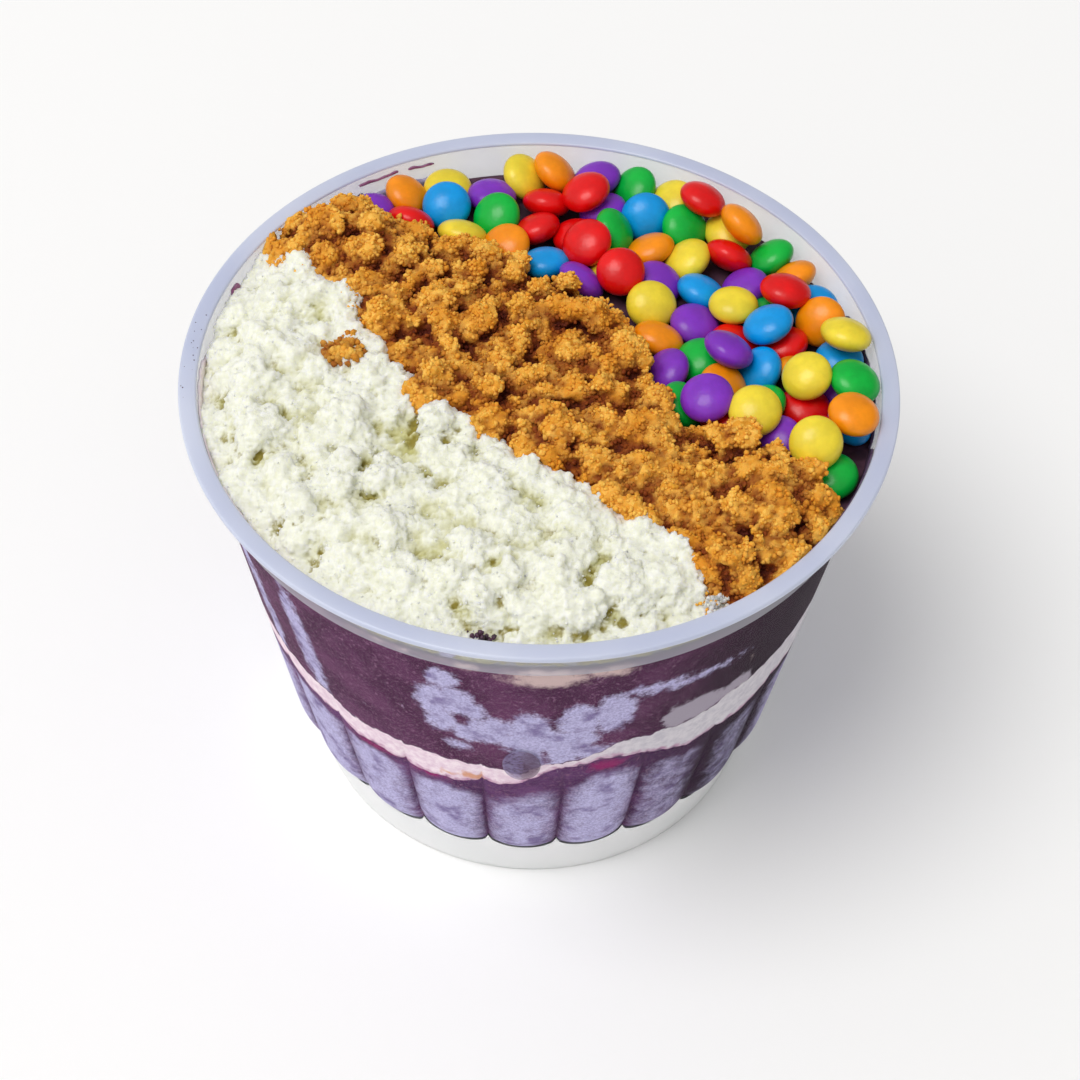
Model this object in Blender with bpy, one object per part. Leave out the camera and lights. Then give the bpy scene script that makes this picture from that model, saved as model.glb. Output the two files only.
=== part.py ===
"""A tub of frozen acai, ready to eat.

A thin fluted plastic tub holds two layers of acai pulp with a layer of cream between
them. On top lie a stripe of milk powder, a stripe of peanut crumble and a heap of
sugar-coated chocolate buttons.

Metres, +Z up. The origin is at the centre of the tub's foot, on the surface that it
stands on. The side that is seen best faces -Y, and azimuths are counted from there
towards +X.
"""
import math

import bmesh
import bpy
import numpy as np

MM = 0.001

# The tub
TUB_HEIGHT = 90.0 * MM
WALL = 0.8 * MM
RIM_RADIUS = 60.0 * MM
RIM_CHAMFER = 0.4 * MM
LIP_HEIGHT = 1.2 * MM
COLLAR_HEIGHT = 8.7 * MM
COLLAR_STEP = 0.5 * MM
CONE_TOP_RADIUS = 57.75 * MM
CONE_SLOPE = 0.16
FOOT_RADIUS = 40.6 * MM
FOOT_WALL = 1.0 * MM
FOOT_SLOPE = 0.17
RECESS_DEPTH = 9.4 * MM
FLOOR_TOP = 11.0 * MM

# The flutes round the lower half of the tub
FLUTES = 22
FIRST_GROOVE = math.radians(7.1)
FLUTE_TOP = 52.0 * MM
LOBE_FOOT = 10.0 * MM
GROOVE_FOOT = 14.0 * MM
LOBE_ROUNDING = 11.0 * MM
SIDES_PER_FLUTE = 4

# The layers inside
GAP = 0.35 * MM
ACAI_TOP = 82.0 * MM

# The cream's edges at the wall, thick on the right and pinched to a thin line at the
# front: azimuths in degrees, with the heights of its bottom and its top in millimetres
CREAM_EDGES = (
    (-180, 44.0, 50.0), (-135, 44.0, 50.0), (-90, 43.5, 50.0), (-47, 43.0, 49.5), (-30, 39.8, 46.8),
    (-11, 39.4, 46.7), (-2, 41.3, 45.2), (3, 45.0, 48.0), (10, 47.2, 50.2), (20, 48.0, 54.0),
    (30, 44.0, 53.5), (45, 44.0, 56.0), (65, 45.0, 57.5), (95, 46.0, 56.0), (135, 44.5, 51.0),
)

# The stripes of topping: their direction, and the offsets of their edges from the
# line through the tub's centre, along and across the stripes, in millimetres
STRIPE_TURN = math.radians(-38.0)
STRIPE_GAP = 0.6 * MM
POWDER_EDGE = (
    (-62, -9.5), (-38, -8.5), (-26, -14), (-13, -18.5), (5, -18),
    (28, -16), (43, -16.5), (50, -22), (56, -31),
)
CANDY_EDGE = (
    (-62, 4), (-42, 11), (-28, 16), (-10, 19), (4, 18.5), (14, 11), (22, 6.5), (34, 10), (62, 9),
)

# The milk powder's heap
POWDER_WALL_HEIGHT = 4.6 * MM
POWDER_DEPTH = 7.4 * MM
POWDER_SHOULDER = 10.0 * MM
POWDER_LUMP_SPACING = 7.6 * MM
POWDER_RELIEF = 3.8 * MM
POWDER_SEED = 11

# The peanut crumble's heap
CRUMBLE_DEPTH = 9.6 * MM
CRUMBLE_CREST = 2.0 * MM
CRUMBLE_WALL_DROP = 2.2 * MM
CRUMBLE_SHOULDER = 8.0 * MM
CRUMBLE_LUMP_SPACING = 5.5 * MM
CRUMBLE_RELIEF = 4.4 * MM
CRUMBLE_SEED = 23
TALL_LUMP = (-46.5, 5.5)
TALL_LUMP_RADIUS = 10.0 * MM
TALL_LUMP_HEIGHT = 3.6 * MM

# The chocolate buttons: lens shapes piled on a low core, which is banked up against the
# crumble. They are dropped at seeded places between two heights over the acai, in
# millimetres, and sink and push each other apart round by round.
CANDY_DIAMETER = 8.8 * MM
CANDY_THICKNESS = 5.2 * MM
CANDY_COUNT = 118
CANDY_SEED = 5
CANDY_SIDES = 6
CANDY_TIERS = 4
FACET_GROWTH = 1.02
CANDY_ROUNDS = 500
CANDY_DROP = (3, 14)
CANDY_FALL = 0.25 * MM
CANDY_PUSH = 0.4
CANDY_CLOSENESS = 0.9
CANDY_TILT = (math.radians(6.0), math.radians(52.0))
CANDY_GAP = 0.45 * MM
CANDY_SINK = 0.6 * MM
CORE_DEPTH = 1.4 * MM
CORE_BANK = 1.0 * MM
CORE_BANK_WIDTH = 24.0 * MM
HEAP_TOP = 91.6 * MM
HEAP_SLOPE = 0.05

# Facets
TUB_SIDES = FLUTES * SIDES_PER_FLUTE
EDGE_POINTS = 48
POWDER_ROWS = 14
CRUMBLE_ROWS = 15
CORE_ROWS = 4


def remove_everything():
    for obj in list(bpy.data.objects):
        bpy.data.objects.remove(obj, do_unlink=True)


def principled(name, colour, roughness, metallic=0.0):
    """A material of one colour, as red, green and blue from 0 to 1."""
    material = bpy.data.materials.new(name)
    material.use_nodes = True
    shader = material.node_tree.nodes["Principled BSDF"]
    shader.inputs["Base Color"].default_value = (*colour, 1.0)
    shader.inputs["Roughness"].default_value = roughness
    shader.inputs["Metallic"].default_value = metallic
    material.diffuse_color = (*colour, 1.0)
    return material


def add_object(name, vertices, faces, material, sharp_angle=35.0):
    """A mesh object with its faces turned outwards."""
    mesh = bpy.data.meshes.new(name)
    mesh.from_pydata([tuple(map(float, v)) for v in vertices], [], faces)
    shape = bmesh.new()
    shape.from_mesh(mesh)
    bmesh.ops.recalc_face_normals(shape, faces=shape.faces)
    bmesh.ops.triangulate(shape, faces=shape.faces)
    shape.to_mesh(mesh)
    shape.free()
    mesh.shade_smooth()
    mesh.set_sharp_from_angle(angle=math.radians(sharp_angle))
    mesh.materials.append(material)
    obj = bpy.data.objects.new(name, mesh)
    bpy.context.scene.collection.objects.link(obj)
    return obj


def azimuths(sides):
    """Directions round the tub that meet every groove."""
    return FIRST_GROOVE + np.arange(sides) * 2 * math.pi / sides


def around(radius, azimuth, height):
    """Points at a radius, an azimuth from -Y towards +X, and a height."""
    radius, azimuth, height = np.broadcast_arrays(radius, azimuth, height)
    return np.stack([radius * np.sin(azimuth), -radius * np.cos(azimuth), height], axis=-1)


def lathe(name, rings, material):
    """Skin a stack of rings of points. The first and the last are closed by a fan."""
    sides = len(rings[0])
    vertices = [ring.mean(axis=0) for ring in (rings[0], rings[-1])]
    for ring in rings:
        vertices.extend(ring)
    faces = []
    for i in range(sides):
        j = (i + 1) % sides
        faces.append((0, 2 + i, 2 + j))
        for k in range(len(rings) - 1):
            low, high = 2 + k * sides, 2 + (k + 1) * sides
            faces.append((low + i, low + j, high + j, high + i))
        last = 2 + (len(rings) - 1) * sides
        faces.append((1, last + j, last + i))
    return add_object(name, vertices, faces, material)


# The tub's wall, as radii of its outer face

def cone_radius(height):
    return CONE_TOP_RADIUS - CONE_SLOPE * (TUB_HEIGHT - height)


def foot_radius(height):
    return FOOT_RADIUS + FOOT_SLOPE * height


def flute_arch(azimuth):
    """0 in a groove and 1 on the crest of a lobe."""
    across = ((azimuth - FIRST_GROOVE) * FLUTES / (2 * math.pi)) % 1.0 * 2 - 1
    return np.sqrt(np.clip(1 - across ** 2, 0, 1))


def lobe_foot(azimuth):
    """Height of the scalloped edge where the lobes leave the plain foot."""
    return GROOVE_FOOT + (LOBE_FOOT - GROOVE_FOOT) * flute_arch(azimuth)


def wall_radius(height, azimuth):
    """Outer radius: a plain foot, lobes with round bottoms, and a plain cone above."""
    arch = flute_arch(azimuth)
    up = np.clip((height - lobe_foot(azimuth)) / LOBE_ROUNDING, 0, 1)
    step = cone_radius(LOBE_FOOT) - foot_radius(LOBE_FOOT)
    lobe = cone_radius(height) - step * (1 - up) ** 2.5
    along = np.clip((height - GROOVE_FOOT) / (FLUTE_TOP - GROOVE_FOOT), 0, 1)
    deepest = cone_radius(GROOVE_FOOT) - foot_radius(GROOVE_FOOT)
    groove = cone_radius(height) - deepest * (1 - along)
    fluted = groove + (lobe - groove) * arch ** 0.75
    return np.where(height < FLUTE_TOP, fluted, cone_radius(height))


def fluted_rings(turn, inset):
    """Rings up the fluted part of the wall's inner face, or a gap inside it."""
    rise = np.array([0.09, 0.25, 0.6, 1.3]) * LOBE_ROUNDING
    heights = [lobe_foot(turn) + step for step in rise]
    return [around(wall_radius(z, turn) - WALL - inset, turn, z + inset) for z in heights]


def make_tub():
    turn = azimuths(TUB_SIDES)
    edge = lobe_foot(turn)
    lip_bottom = TUB_HEIGHT - LIP_HEIGHT
    collar_bottom = TUB_HEIGHT - COLLAR_HEIGHT
    inner_top = cone_radius(TUB_HEIGHT) - WALL

    def ring(radius, height):
        return around(radius, turn, height)

    rise = np.array([0.0, 0.13, 0.5, 1.3]) * LOBE_ROUNDING
    outer = [ring(wall_radius(edge + step, turn), edge + step) for step in rise]
    rings = [
        ring(foot_radius(RECESS_DEPTH) - FOOT_WALL, RECESS_DEPTH),
        ring(FOOT_RADIUS - FOOT_WALL, 0.0),
        ring(FOOT_RADIUS, 0.0),
        *outer,
        ring(cone_radius(FLUTE_TOP), FLUTE_TOP),
        ring(cone_radius(collar_bottom), collar_bottom),
        ring(cone_radius(collar_bottom) + COLLAR_STEP, collar_bottom + COLLAR_STEP / 2),
        ring(cone_radius(lip_bottom) + COLLAR_STEP, lip_bottom),
        ring(RIM_RADIUS, lip_bottom),
        ring(RIM_RADIUS, TUB_HEIGHT - RIM_CHAMFER),
        ring(RIM_RADIUS - RIM_CHAMFER, TUB_HEIGHT),
        ring(inner_top + RIM_CHAMFER, TUB_HEIGHT),
        ring(inner_top, TUB_HEIGHT - RIM_CHAMFER),
        ring(cone_radius(FLUTE_TOP) - WALL, FLUTE_TOP),
        *reversed(fluted_rings(turn, 0.0)),
        ring(FOOT_RADIUS - WALL, FLOOR_TOP),
    ]
    return lathe("tub", rings, principled("tub_plastic", (0.86, 0.88, 0.93), 0.3))


# The layers, which fill the tub up to a small gap from its wall

def fill_radius(height, azimuth):
    return wall_radius(height, azimuth) - WALL - GAP


def smooth_line(u, v, at):
    """A smooth line through points, read at some places."""
    slope = np.gradient(v, u)
    i = np.clip(np.searchsorted(u, at) - 1, 0, len(u) - 2)
    span = u[i + 1] - u[i]
    s = (at - u[i]) / span
    start = (2 * s ** 3 - 3 * s ** 2 + 1) * v[i] + (s ** 3 - 2 * s ** 2 + s) * span * slope[i]
    end = (3 * s ** 2 - 2 * s ** 3) * v[i + 1] + (s ** 3 - s ** 2) * span * slope[i + 1]
    return start + end


def cream_rim(turn, edge, shift):
    """The cream's bottom, edge 1, or its top, edge 2, a little clear of the wall."""
    laps = [np.array(CREAM_EDGES) + (lap, 0, 0) for lap in (-360, 0, 360)]
    points = np.concatenate(laps)
    height = smooth_line(points[:, 0], points[:, edge] * MM, np.degrees(turn)) + shift
    return around(fill_radius(height, turn) - GAP / 2, turn, height)


def make_lower_acai():
    turn = azimuths(TUB_SIDES)
    floor = around(FOOT_RADIUS - WALL - GAP, turn, FLOOR_TOP + GAP)
    rings = [floor, *fluted_rings(turn, GAP), cream_rim(turn, 1, -GAP / 2)]
    return lathe("acai_lower", rings, principled("acai_pulp_lower", (0.22, 0.12, 0.28), 0.6))


def make_cream():
    turn = azimuths(TUB_SIDES)
    rings = [cream_rim(turn, 1, GAP / 2), cream_rim(turn, 2, -GAP / 2)]
    return lathe("cream_layer", rings, principled("cream", (0.82, 0.72, 0.76), 0.5))


def make_upper_acai():
    turn = azimuths(TUB_SIDES)
    edge = cream_rim(turn, 2, GAP / 2)
    above = np.maximum(edge[:, 2] + GAP, FLUTE_TOP)
    rings = [
        edge,
        around(fill_radius(above, turn), turn, above),
        around(fill_radius(ACAI_TOP, turn), turn, ACAI_TOP),
    ]
    return lathe("acai_upper", rings, principled("acai_pulp_upper", (0.12, 0.05, 0.12), 0.6))


# The toppings are laid out in plan, in a disc at the height of the acai's top, and
# then widen upwards with the tub

BED = ACAI_TOP + GAP
PLAN_RADIUS = cone_radius(BED) - WALL - GAP


def to_stripe(x, y):
    """Distances along and across the stripes."""
    c, s = math.cos(STRIPE_TURN), math.sin(STRIPE_TURN)
    return x * c + y * s, -x * s + y * c


def from_stripe(along, across):
    c, s = math.cos(STRIPE_TURN), math.sin(STRIPE_TURN)
    return np.stack([along * c - across * s, along * s + across * c], axis=-1)


def edge_offset(points, along):
    """How far a stripe's edge is from the centre line."""
    u, v = np.array(points, float).T * MM
    return smooth_line(u, v, along)


def edge_ends(points):
    """Where a stripe's edge meets the disc, as distances along the stripe."""
    ends = []
    for side in (-1, 1):
        along = side * np.linspace(0.3, 1.0, 400) * PLAN_RADIUS
        reach = np.hypot(along, edge_offset(points, along))
        ends.append(along[np.argmax(reach >= PLAN_RADIUS)])
    return ends


def edge_normal(points, along):
    """Slope of a stripe's edge, and its unit normal in plan."""
    step = 0.5 * MM
    rise = (edge_offset(points, along + step) - edge_offset(points, along - step)) / (2 * step)
    length = np.sqrt(1 + rise ** 2)
    return length, from_stripe(-rise / length, 1 / length)


def edge_line(points, shift):
    """Points in plan along an edge, from wall to wall, moved square to it."""
    along = np.linspace(*edge_ends(points), EDGE_POINTS)
    return from_stripe(along, edge_offset(points, along)) + shift * edge_normal(points, along)[1]


def wall_line(start, end, turn):
    """Points in plan along the disc's edge; turn is 1 anticlockwise, -1 clockwise."""
    first = math.atan2(start[1], start[0])
    last = math.atan2(end[1], end[0])
    sweep = (last - first) * turn % (2 * math.pi) * turn
    angle = first + np.linspace(0, 1, EDGE_POINTS) * sweep
    return PLAN_RADIUS * np.stack([np.cos(angle), np.sin(angle)], axis=-1)


def fill_between(near, far, rows):
    """A grid of plan points between two lines."""
    share = np.linspace(0, 1, rows)[:, None, None]
    return near[None] * (1 - share) + far[None] * share


def bow_ends(grid):
    """Bend a grid's end columns out to the wall, and those beside them less and less."""
    share = np.linspace(0, 1, grid.shape[0])[:, None]
    pull = np.linspace(0, 1, grid.shape[1])
    for end, weight in ((0, 1 - pull / 0.2), (-1, 1 - (1 - pull) / 0.2)):
        chord = grid[:, end]
        bow = chord * (PLAN_RADIUS / np.linalg.norm(chord, axis=1) - 1)[:, None]
        bow = bow - bow[:1] * (1 - share) - bow[-1:] * share
        grid = grid + bow[:, None] * np.clip(weight, 0, 1)[None, :, None]
    return grid


def flare(plan, height):
    """Widen plan points with the tub's cone at their height."""
    widen = 1 + CONE_SLOPE * (height - BED) / PLAN_RADIUS
    return np.concatenate([plan * widen[..., None], height[..., None]], axis=-1)


def heap(name, plan, height, material):
    """A closed heap: a relief over a grid of plan points, flat below."""
    rows, columns = height.shape
    top = flare(plan, height).reshape(-1, 3)
    index = np.arange(rows * columns).reshape(rows, columns)
    border = list(index[0, :-1]) + list(index[:-1, -1]) + list(index[-1, :0:-1]) + list(index[:0:-1, 0])
    flat = plan.reshape(-1, 2)[border]
    bottom = flare(flat, np.full(len(border), BED))
    faces = []
    for r in range(rows - 1):
        for c in range(columns - 1):
            corners = index[r, c], index[r, c + 1], index[r + 1, c + 1], index[r + 1, c]
            faces.append(tuple(int(n) for n in corners))
    first = len(top)
    for k in range(len(border)):
        n = (k + 1) % len(border)
        faces.append((int(border[n]), int(border[k]), first + k, first + n))
    faces.append(tuple(first + k for k in range(len(border))))
    return add_object(name, np.concatenate([top, bottom]), faces, material)


def scatter_lumps(seed, spacing):
    """Centres and sizes of round lumps, on a shaken triangular grid over the disc."""
    rng = np.random.default_rng(seed)
    steps = int(2 * PLAN_RADIUS / spacing) + 3
    column, row = np.meshgrid(np.arange(steps), np.arange(steps))
    x = (column + 0.5 * (row % 2) - steps / 2) * spacing
    y = (row - steps / 2) * spacing * 0.87
    x = x + rng.uniform(-0.35, 0.35, x.shape) * spacing
    y = y + rng.uniform(-0.35, 0.35, y.shape) * spacing
    size = spacing * rng.uniform(0.42, 0.74, x.shape)
    rise = rng.uniform(0.4, 1.0, x.shape)
    return np.stack([x.ravel(), y.ravel(), size.ravel(), rise.ravel()], axis=-1)


def lump_relief(x, y, lumps):
    """Height from 0 to 1 of round lumps that stand side by side."""
    relief = np.zeros(np.shape(x))
    for cx, cy, size, rise in lumps:
        near = 1 - ((x - cx) ** 2 + (y - cy) ** 2) / size ** 2
        relief = np.maximum(relief, rise * np.sqrt(np.clip(near, 0, 1)))
    return relief


def ease(x):
    x = np.clip(x, 0, 1)
    return x * x * (3 - 2 * x)


def powder_height(plan):
    x, y = plan[..., 0], plan[..., 1]
    inland = ease((PLAN_RADIUS - np.hypot(x, y)) / POWDER_SHOULDER)
    lumps = lump_relief(x, y, scatter_lumps(POWDER_SEED, POWDER_LUMP_SPACING))
    base = POWDER_WALL_HEIGHT + (POWDER_DEPTH - POWDER_WALL_HEIGHT) * inland
    return BED + base + POWDER_RELIEF * lumps * (0.5 + 0.5 * inland)


def crumble_height(plan):
    x, y = plan[..., 0], plan[..., 1]
    along, across = to_stripe(x, y)
    low = edge_offset(POWDER_EDGE, along)
    high = edge_offset(CANDY_EDGE, along)
    share = np.clip((across - low) / (high - low), 0, 1)
    crest = CRUMBLE_CREST * np.sin(math.pi * share)
    inland = ease((PLAN_RADIUS - np.hypot(x, y)) / CRUMBLE_SHOULDER)
    tall_x, tall_y = np.array(TALL_LUMP) * MM
    tall = ease(1 - np.hypot(along - tall_x, across - tall_y) / TALL_LUMP_RADIUS)
    lumps = lump_relief(x, y, scatter_lumps(CRUMBLE_SEED, CRUMBLE_LUMP_SPACING))
    base = CRUMBLE_DEPTH + crest - CRUMBLE_WALL_DROP * (1 - inland) + TALL_LUMP_HEIGHT * tall
    return BED + base + CRUMBLE_RELIEF * (lumps - 0.5)


def make_powder():
    far = edge_line(POWDER_EDGE, -STRIPE_GAP / 2)
    near = wall_line(far[0], far[-1], 1)
    plan = fill_between(near, far, POWDER_ROWS)[:, 1:-1]
    material = principled("milk_powder", (0.9, 0.91, 0.78), 0.9)
    return heap("milk_powder", plan, powder_height(plan), material)


def make_crumble():
    near = edge_line(POWDER_EDGE, STRIPE_GAP / 2)
    far = edge_line(CANDY_EDGE, -STRIPE_GAP / 2)
    plan = bow_ends(fill_between(near, far, CRUMBLE_ROWS))
    material = principled("peanut_crumble", (0.62, 0.32, 0.06), 0.85)
    return heap("peanut_crumble", plan, crumble_height(plan), material)


# The buttons: lens shapes that settle on the core without crossing

def core_height(plan):
    """The core under the buttons, banked up against the crumble."""
    along, across = to_stripe(plan[..., 0], plan[..., 1])
    away = across - edge_offset(CANDY_EDGE, along)
    return BED + CORE_DEPTH + CORE_BANK * (1 - ease(away / CORE_BANK_WIDTH))


def edge_way(x, y):
    """Distance in plan from the crumble's edge, and the direction away from it."""
    along, across = to_stripe(x, y)
    length, away = edge_normal(CANDY_EDGE, along)
    return (across - edge_offset(CANDY_EDGE, along)) / length, away


def reach_along(axes, direction, radius, half):
    """How far a lens reaches from its centre along a direction."""
    lean = np.einsum("ij,ij->i", axes, direction) ** 2
    return np.sqrt(radius ** 2 * (1 - lean) + half ** 2 * lean)


def settle_candies():
    """Centres and axes of the buttons: dropped at seeded places, then pushed apart."""
    rng = np.random.default_rng(CANDY_SEED)
    radius, half = CANDY_DIAMETER / 2, CANDY_THICKNESS / 2
    clear = 0.8 * radius
    places = []
    while len(places) < CANDY_COUNT:
        x, y = rng.uniform(-PLAN_RADIUS, PLAN_RADIUS, 2)
        inside = np.hypot(x, y) < PLAN_RADIUS - radius
        if inside and edge_way(x, y)[0] > clear:
            places.append((x, y, BED + rng.uniform(*CANDY_DROP) * MM))
    centre = np.array(places)
    tilt = rng.uniform(*CANDY_TILT, CANDY_COUNT)
    turn = rng.uniform(0, 2 * math.pi, CANDY_COUNT)
    axes = np.stack([np.sin(tilt) * np.cos(turn), np.sin(tilt) * np.sin(turn), np.cos(tilt)], axis=-1)
    shape = radius ** 2 * np.eye(3) + (half ** 2 - radius ** 2) * axes[:, :, None] * axes[:, None, :]
    first, second = np.triu_indices(CANDY_COUNT, 1)
    metric = np.linalg.inv(shape[first] + shape[second])
    down = np.tile([0.0, 0.0, 1.0], (CANDY_COUNT, 1))
    bottom = reach_along(axes, down, radius, half)
    for stage in range(CANDY_ROUNDS):
        centre[:, 2] -= CANDY_FALL * (1 - stage / CANDY_ROUNDS)
        apart = centre[second] - centre[first]
        pull = np.einsum("nij,nj->ni", metric, apart)
        touch = np.einsum("ni,ni->n", apart, pull) / 2
        close = touch < CANDY_CLOSENESS
        way = pull[close] / np.linalg.norm(pull[close], axis=1, keepdims=True)
        depth = np.einsum("ni,ni->n", apart[close], way) * (np.sqrt(CANDY_CLOSENESS / touch[close]) - 1)
        push = CANDY_PUSH * depth[:, None] * way
        np.add.at(centre, second[close], push)
        np.add.at(centre, first[close], -push)
        distance, away = edge_way(centre[:, 0], centre[:, 1])
        direction = np.column_stack([away, np.zeros(CANDY_COUNT)])
        short = np.clip(reach_along(axes, direction, radius, half) + CANDY_GAP - distance, 0, None)
        centre[:, :2] += short[:, None] * away
        spoke = np.hypot(centre[:, 0], centre[:, 1])
        out = np.column_stack([centre[:, 0] / spoke, centre[:, 1] / spoke, np.zeros(CANDY_COUNT)])
        room = cone_radius(centre[:, 2]) - WALL - CANDY_GAP - reach_along(axes, out, radius, half)
        centre[:, :2] *= np.minimum(1, room / spoke)[:, None]
        floor = core_height(centre[:, :2]) + bottom - CANDY_SINK
        centre[:, 2] = np.maximum(centre[:, 2], floor)
    kept = centre[:, 2] < HEAP_TOP - HEAP_SLOPE * centre[:, 1]
    return centre[kept], axes[kept]


def lens(name, centre, axis, material):
    """One button, with few sides, in a collection of its own."""
    mesh = bpy.data.meshes.new(name)
    shape = bmesh.new()
    radius = FACET_GROWTH * CANDY_DIAMETER / 2
    bmesh.ops.create_uvsphere(shape, u_segments=CANDY_SIDES, v_segments=CANDY_TIERS, radius=radius)
    flat = CANDY_THICKNESS / CANDY_DIAMETER
    side = np.cross(axis, (0.3, 0.9, 0.1))
    side /= np.linalg.norm(side)
    other = np.cross(axis, side)
    for vertex in shape.verts:
        a, b, c = vertex.co
        vertex.co = centre + a * side + b * other + c * flat * axis
    bmesh.ops.recalc_face_normals(shape, faces=shape.faces)
    bmesh.ops.triangulate(shape, faces=shape.faces)
    shape.to_mesh(mesh)
    shape.free()
    mesh.materials.append(material)
    return bpy.data.objects.new(name, mesh)


def unite(core, pieces, solver):
    """Fuse pieces onto a core by one Boolean over a collection, and remove them."""
    group = bpy.data.collections.new("pieces")
    bpy.context.scene.collection.children.link(group)
    for piece in pieces:
        group.objects.link(piece)
    union = core.modifiers.new("union", "BOOLEAN")
    union.operation = "UNION"
    union.operand_type = "COLLECTION"
    union.collection = group
    union.solver = solver
    bpy.context.view_layer.update()
    fused = bpy.data.meshes.new_from_object(core.evaluated_get(bpy.context.evaluated_depsgraph_get()))
    core.modifiers.clear()
    core.data = fused
    for piece in pieces:
        bpy.data.objects.remove(piece, do_unlink=True)
    bpy.data.collections.remove(group)


def keep_largest(obj):
    """Drop loose scraps, and the walls of hollows that the union has sealed."""
    shape = bmesh.new()
    shape.from_mesh(obj.data)
    left = set(shape.verts)
    islands = []
    while left:
        island = {left.pop()}
        front = list(island)
        while front:
            for edge in front.pop().link_edges:
                for vertex in edge.verts:
                    if vertex in left:
                        left.discard(vertex)
                        island.add(vertex)
                        front.append(vertex)
        islands.append(island)
    islands.sort(key=len)
    bmesh.ops.delete(shape, geom=[v for island in islands[:-1] for v in island], context="VERTS")
    bmesh.ops.triangulate(shape, faces=shape.faces)
    shape.to_mesh(obj.data)
    shape.free()


def make_candies():
    material = principled("sugar_shell", (0.75, 0.1, 0.1), 0.25)
    near = edge_line(CANDY_EDGE, STRIPE_GAP / 2)
    far = wall_line(near[0], near[-1], -1)
    plan = fill_between(near, far, CORE_ROWS)[:, 1:-1]
    core = heap("candies", plan, core_height(plan), material)
    centres, axes = settle_candies()
    pieces = [lens(f"button_{i}", c, a, material) for i, (c, a) in enumerate(zip(centres, axes))]
    unite(core, pieces, "EXACT")
    keep_largest(core)
    return core


def main():
    remove_everything()
    make_tub()
    make_lower_acai()
    make_cream()
    make_upper_acai()
    make_powder()
    make_crumble()
    make_candies()


main()
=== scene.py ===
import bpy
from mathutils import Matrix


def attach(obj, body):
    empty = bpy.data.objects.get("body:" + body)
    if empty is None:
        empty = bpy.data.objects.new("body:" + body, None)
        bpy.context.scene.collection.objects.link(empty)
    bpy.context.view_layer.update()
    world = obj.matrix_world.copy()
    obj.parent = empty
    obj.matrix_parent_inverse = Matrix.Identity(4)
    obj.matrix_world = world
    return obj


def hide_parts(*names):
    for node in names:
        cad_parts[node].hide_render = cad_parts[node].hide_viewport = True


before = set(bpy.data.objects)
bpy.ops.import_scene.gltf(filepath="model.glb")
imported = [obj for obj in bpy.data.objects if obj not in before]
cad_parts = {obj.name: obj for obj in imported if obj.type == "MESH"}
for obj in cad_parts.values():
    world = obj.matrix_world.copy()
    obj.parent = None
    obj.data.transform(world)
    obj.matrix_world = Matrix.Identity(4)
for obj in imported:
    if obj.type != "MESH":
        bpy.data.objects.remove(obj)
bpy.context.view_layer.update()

# The looks of a tub of frozen acai with a layer of cream, under stripes of milk powder,
# peanut crumble and sugar-coated chocolate buttons. Metres, +Z up, in the frame of the
# solids. Azimuths are counted from -Y towards +X.

import math

import bmesh
import bpy
import numpy as np
from mathutils import Matrix, Vector, noise

MM = 0.001
TINY = 0.00001
BODY = "root"

# The solids' own rules, repeated here so that each piece lies where its solid does

TUB_HEIGHT = 90.0 * MM
WALL = 0.8 * MM
RIM_RADIUS = 60.0 * MM
RIM_CHAMFER = 0.4 * MM
LIP_HEIGHT = 1.2 * MM
COLLAR_HEIGHT = 8.7 * MM
COLLAR_STEP = 0.5 * MM
CONE_TOP_RADIUS = 57.75 * MM
CONE_SLOPE = 0.16
FOOT_RADIUS = 40.6 * MM
FOOT_WALL = 1.0 * MM
FOOT_SLOPE = 0.17
RECESS_DEPTH = 9.4 * MM
FLOOR_TOP = 11.0 * MM
FLUTES = 22
FIRST_GROOVE = math.radians(7.1)
FLUTE_TOP = 52.0 * MM
LOBE_FOOT = 10.0 * MM
GROOVE_FOOT = 14.0 * MM
LOBE_ROUNDING = 11.0 * MM
GAP = 0.35 * MM
ACAI_TOP = 82.0 * MM
CREAM_EDGES = (
    (-180, 44.0, 50.0), (-135, 44.0, 50.0), (-90, 43.5, 50.0), (-47, 43.0, 49.5), (-30, 39.8, 46.8),
    (-11, 39.4, 46.7), (-2, 41.3, 45.2), (3, 45.0, 48.0), (10, 47.2, 50.2), (20, 48.0, 54.0),
    (30, 44.0, 53.5), (45, 44.0, 56.0), (65, 45.0, 57.5), (95, 46.0, 56.0), (135, 44.5, 51.0),
)
STRIPE_COS, STRIPE_SIN = math.cos(math.radians(-38.0)), math.sin(math.radians(-38.0))
POWDER_EDGE = (
    (-62, -9.5), (-38, -8.5), (-26, -14), (-13, -18.5), (5, -18),
    (28, -16), (43, -16.5), (50, -22), (56, -31),
)
CANDY_EDGE = (
    (-62, 4), (-42, 11), (-28, 16), (-10, 19), (4, 18.5), (14, 11), (22, 6.5), (34, 10), (62, 9),
)
POWDER_WALL_HEIGHT = 4.6 * MM
POWDER_DEPTH = 7.4 * MM
POWDER_SHOULDER = 10.0 * MM
POWDER_LUMP_SPACING = 7.6 * MM
POWDER_RELIEF = 3.8 * MM
POWDER_SEED = 11
CRUMBLE_DEPTH = 9.6 * MM
CRUMBLE_CREST = 2.0 * MM
CRUMBLE_WALL_DROP = 2.2 * MM
CRUMBLE_SHOULDER = 8.0 * MM
CRUMBLE_LUMP_SPACING = 5.5 * MM
CRUMBLE_RELIEF = 4.4 * MM
CRUMBLE_SEED = 23
TALL_LUMP = (-46.5, 5.5)
TALL_LUMP_RADIUS = 10.0 * MM
TALL_LUMP_HEIGHT = 3.6 * MM
CANDY_RADIUS = 4.4 * MM
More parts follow.
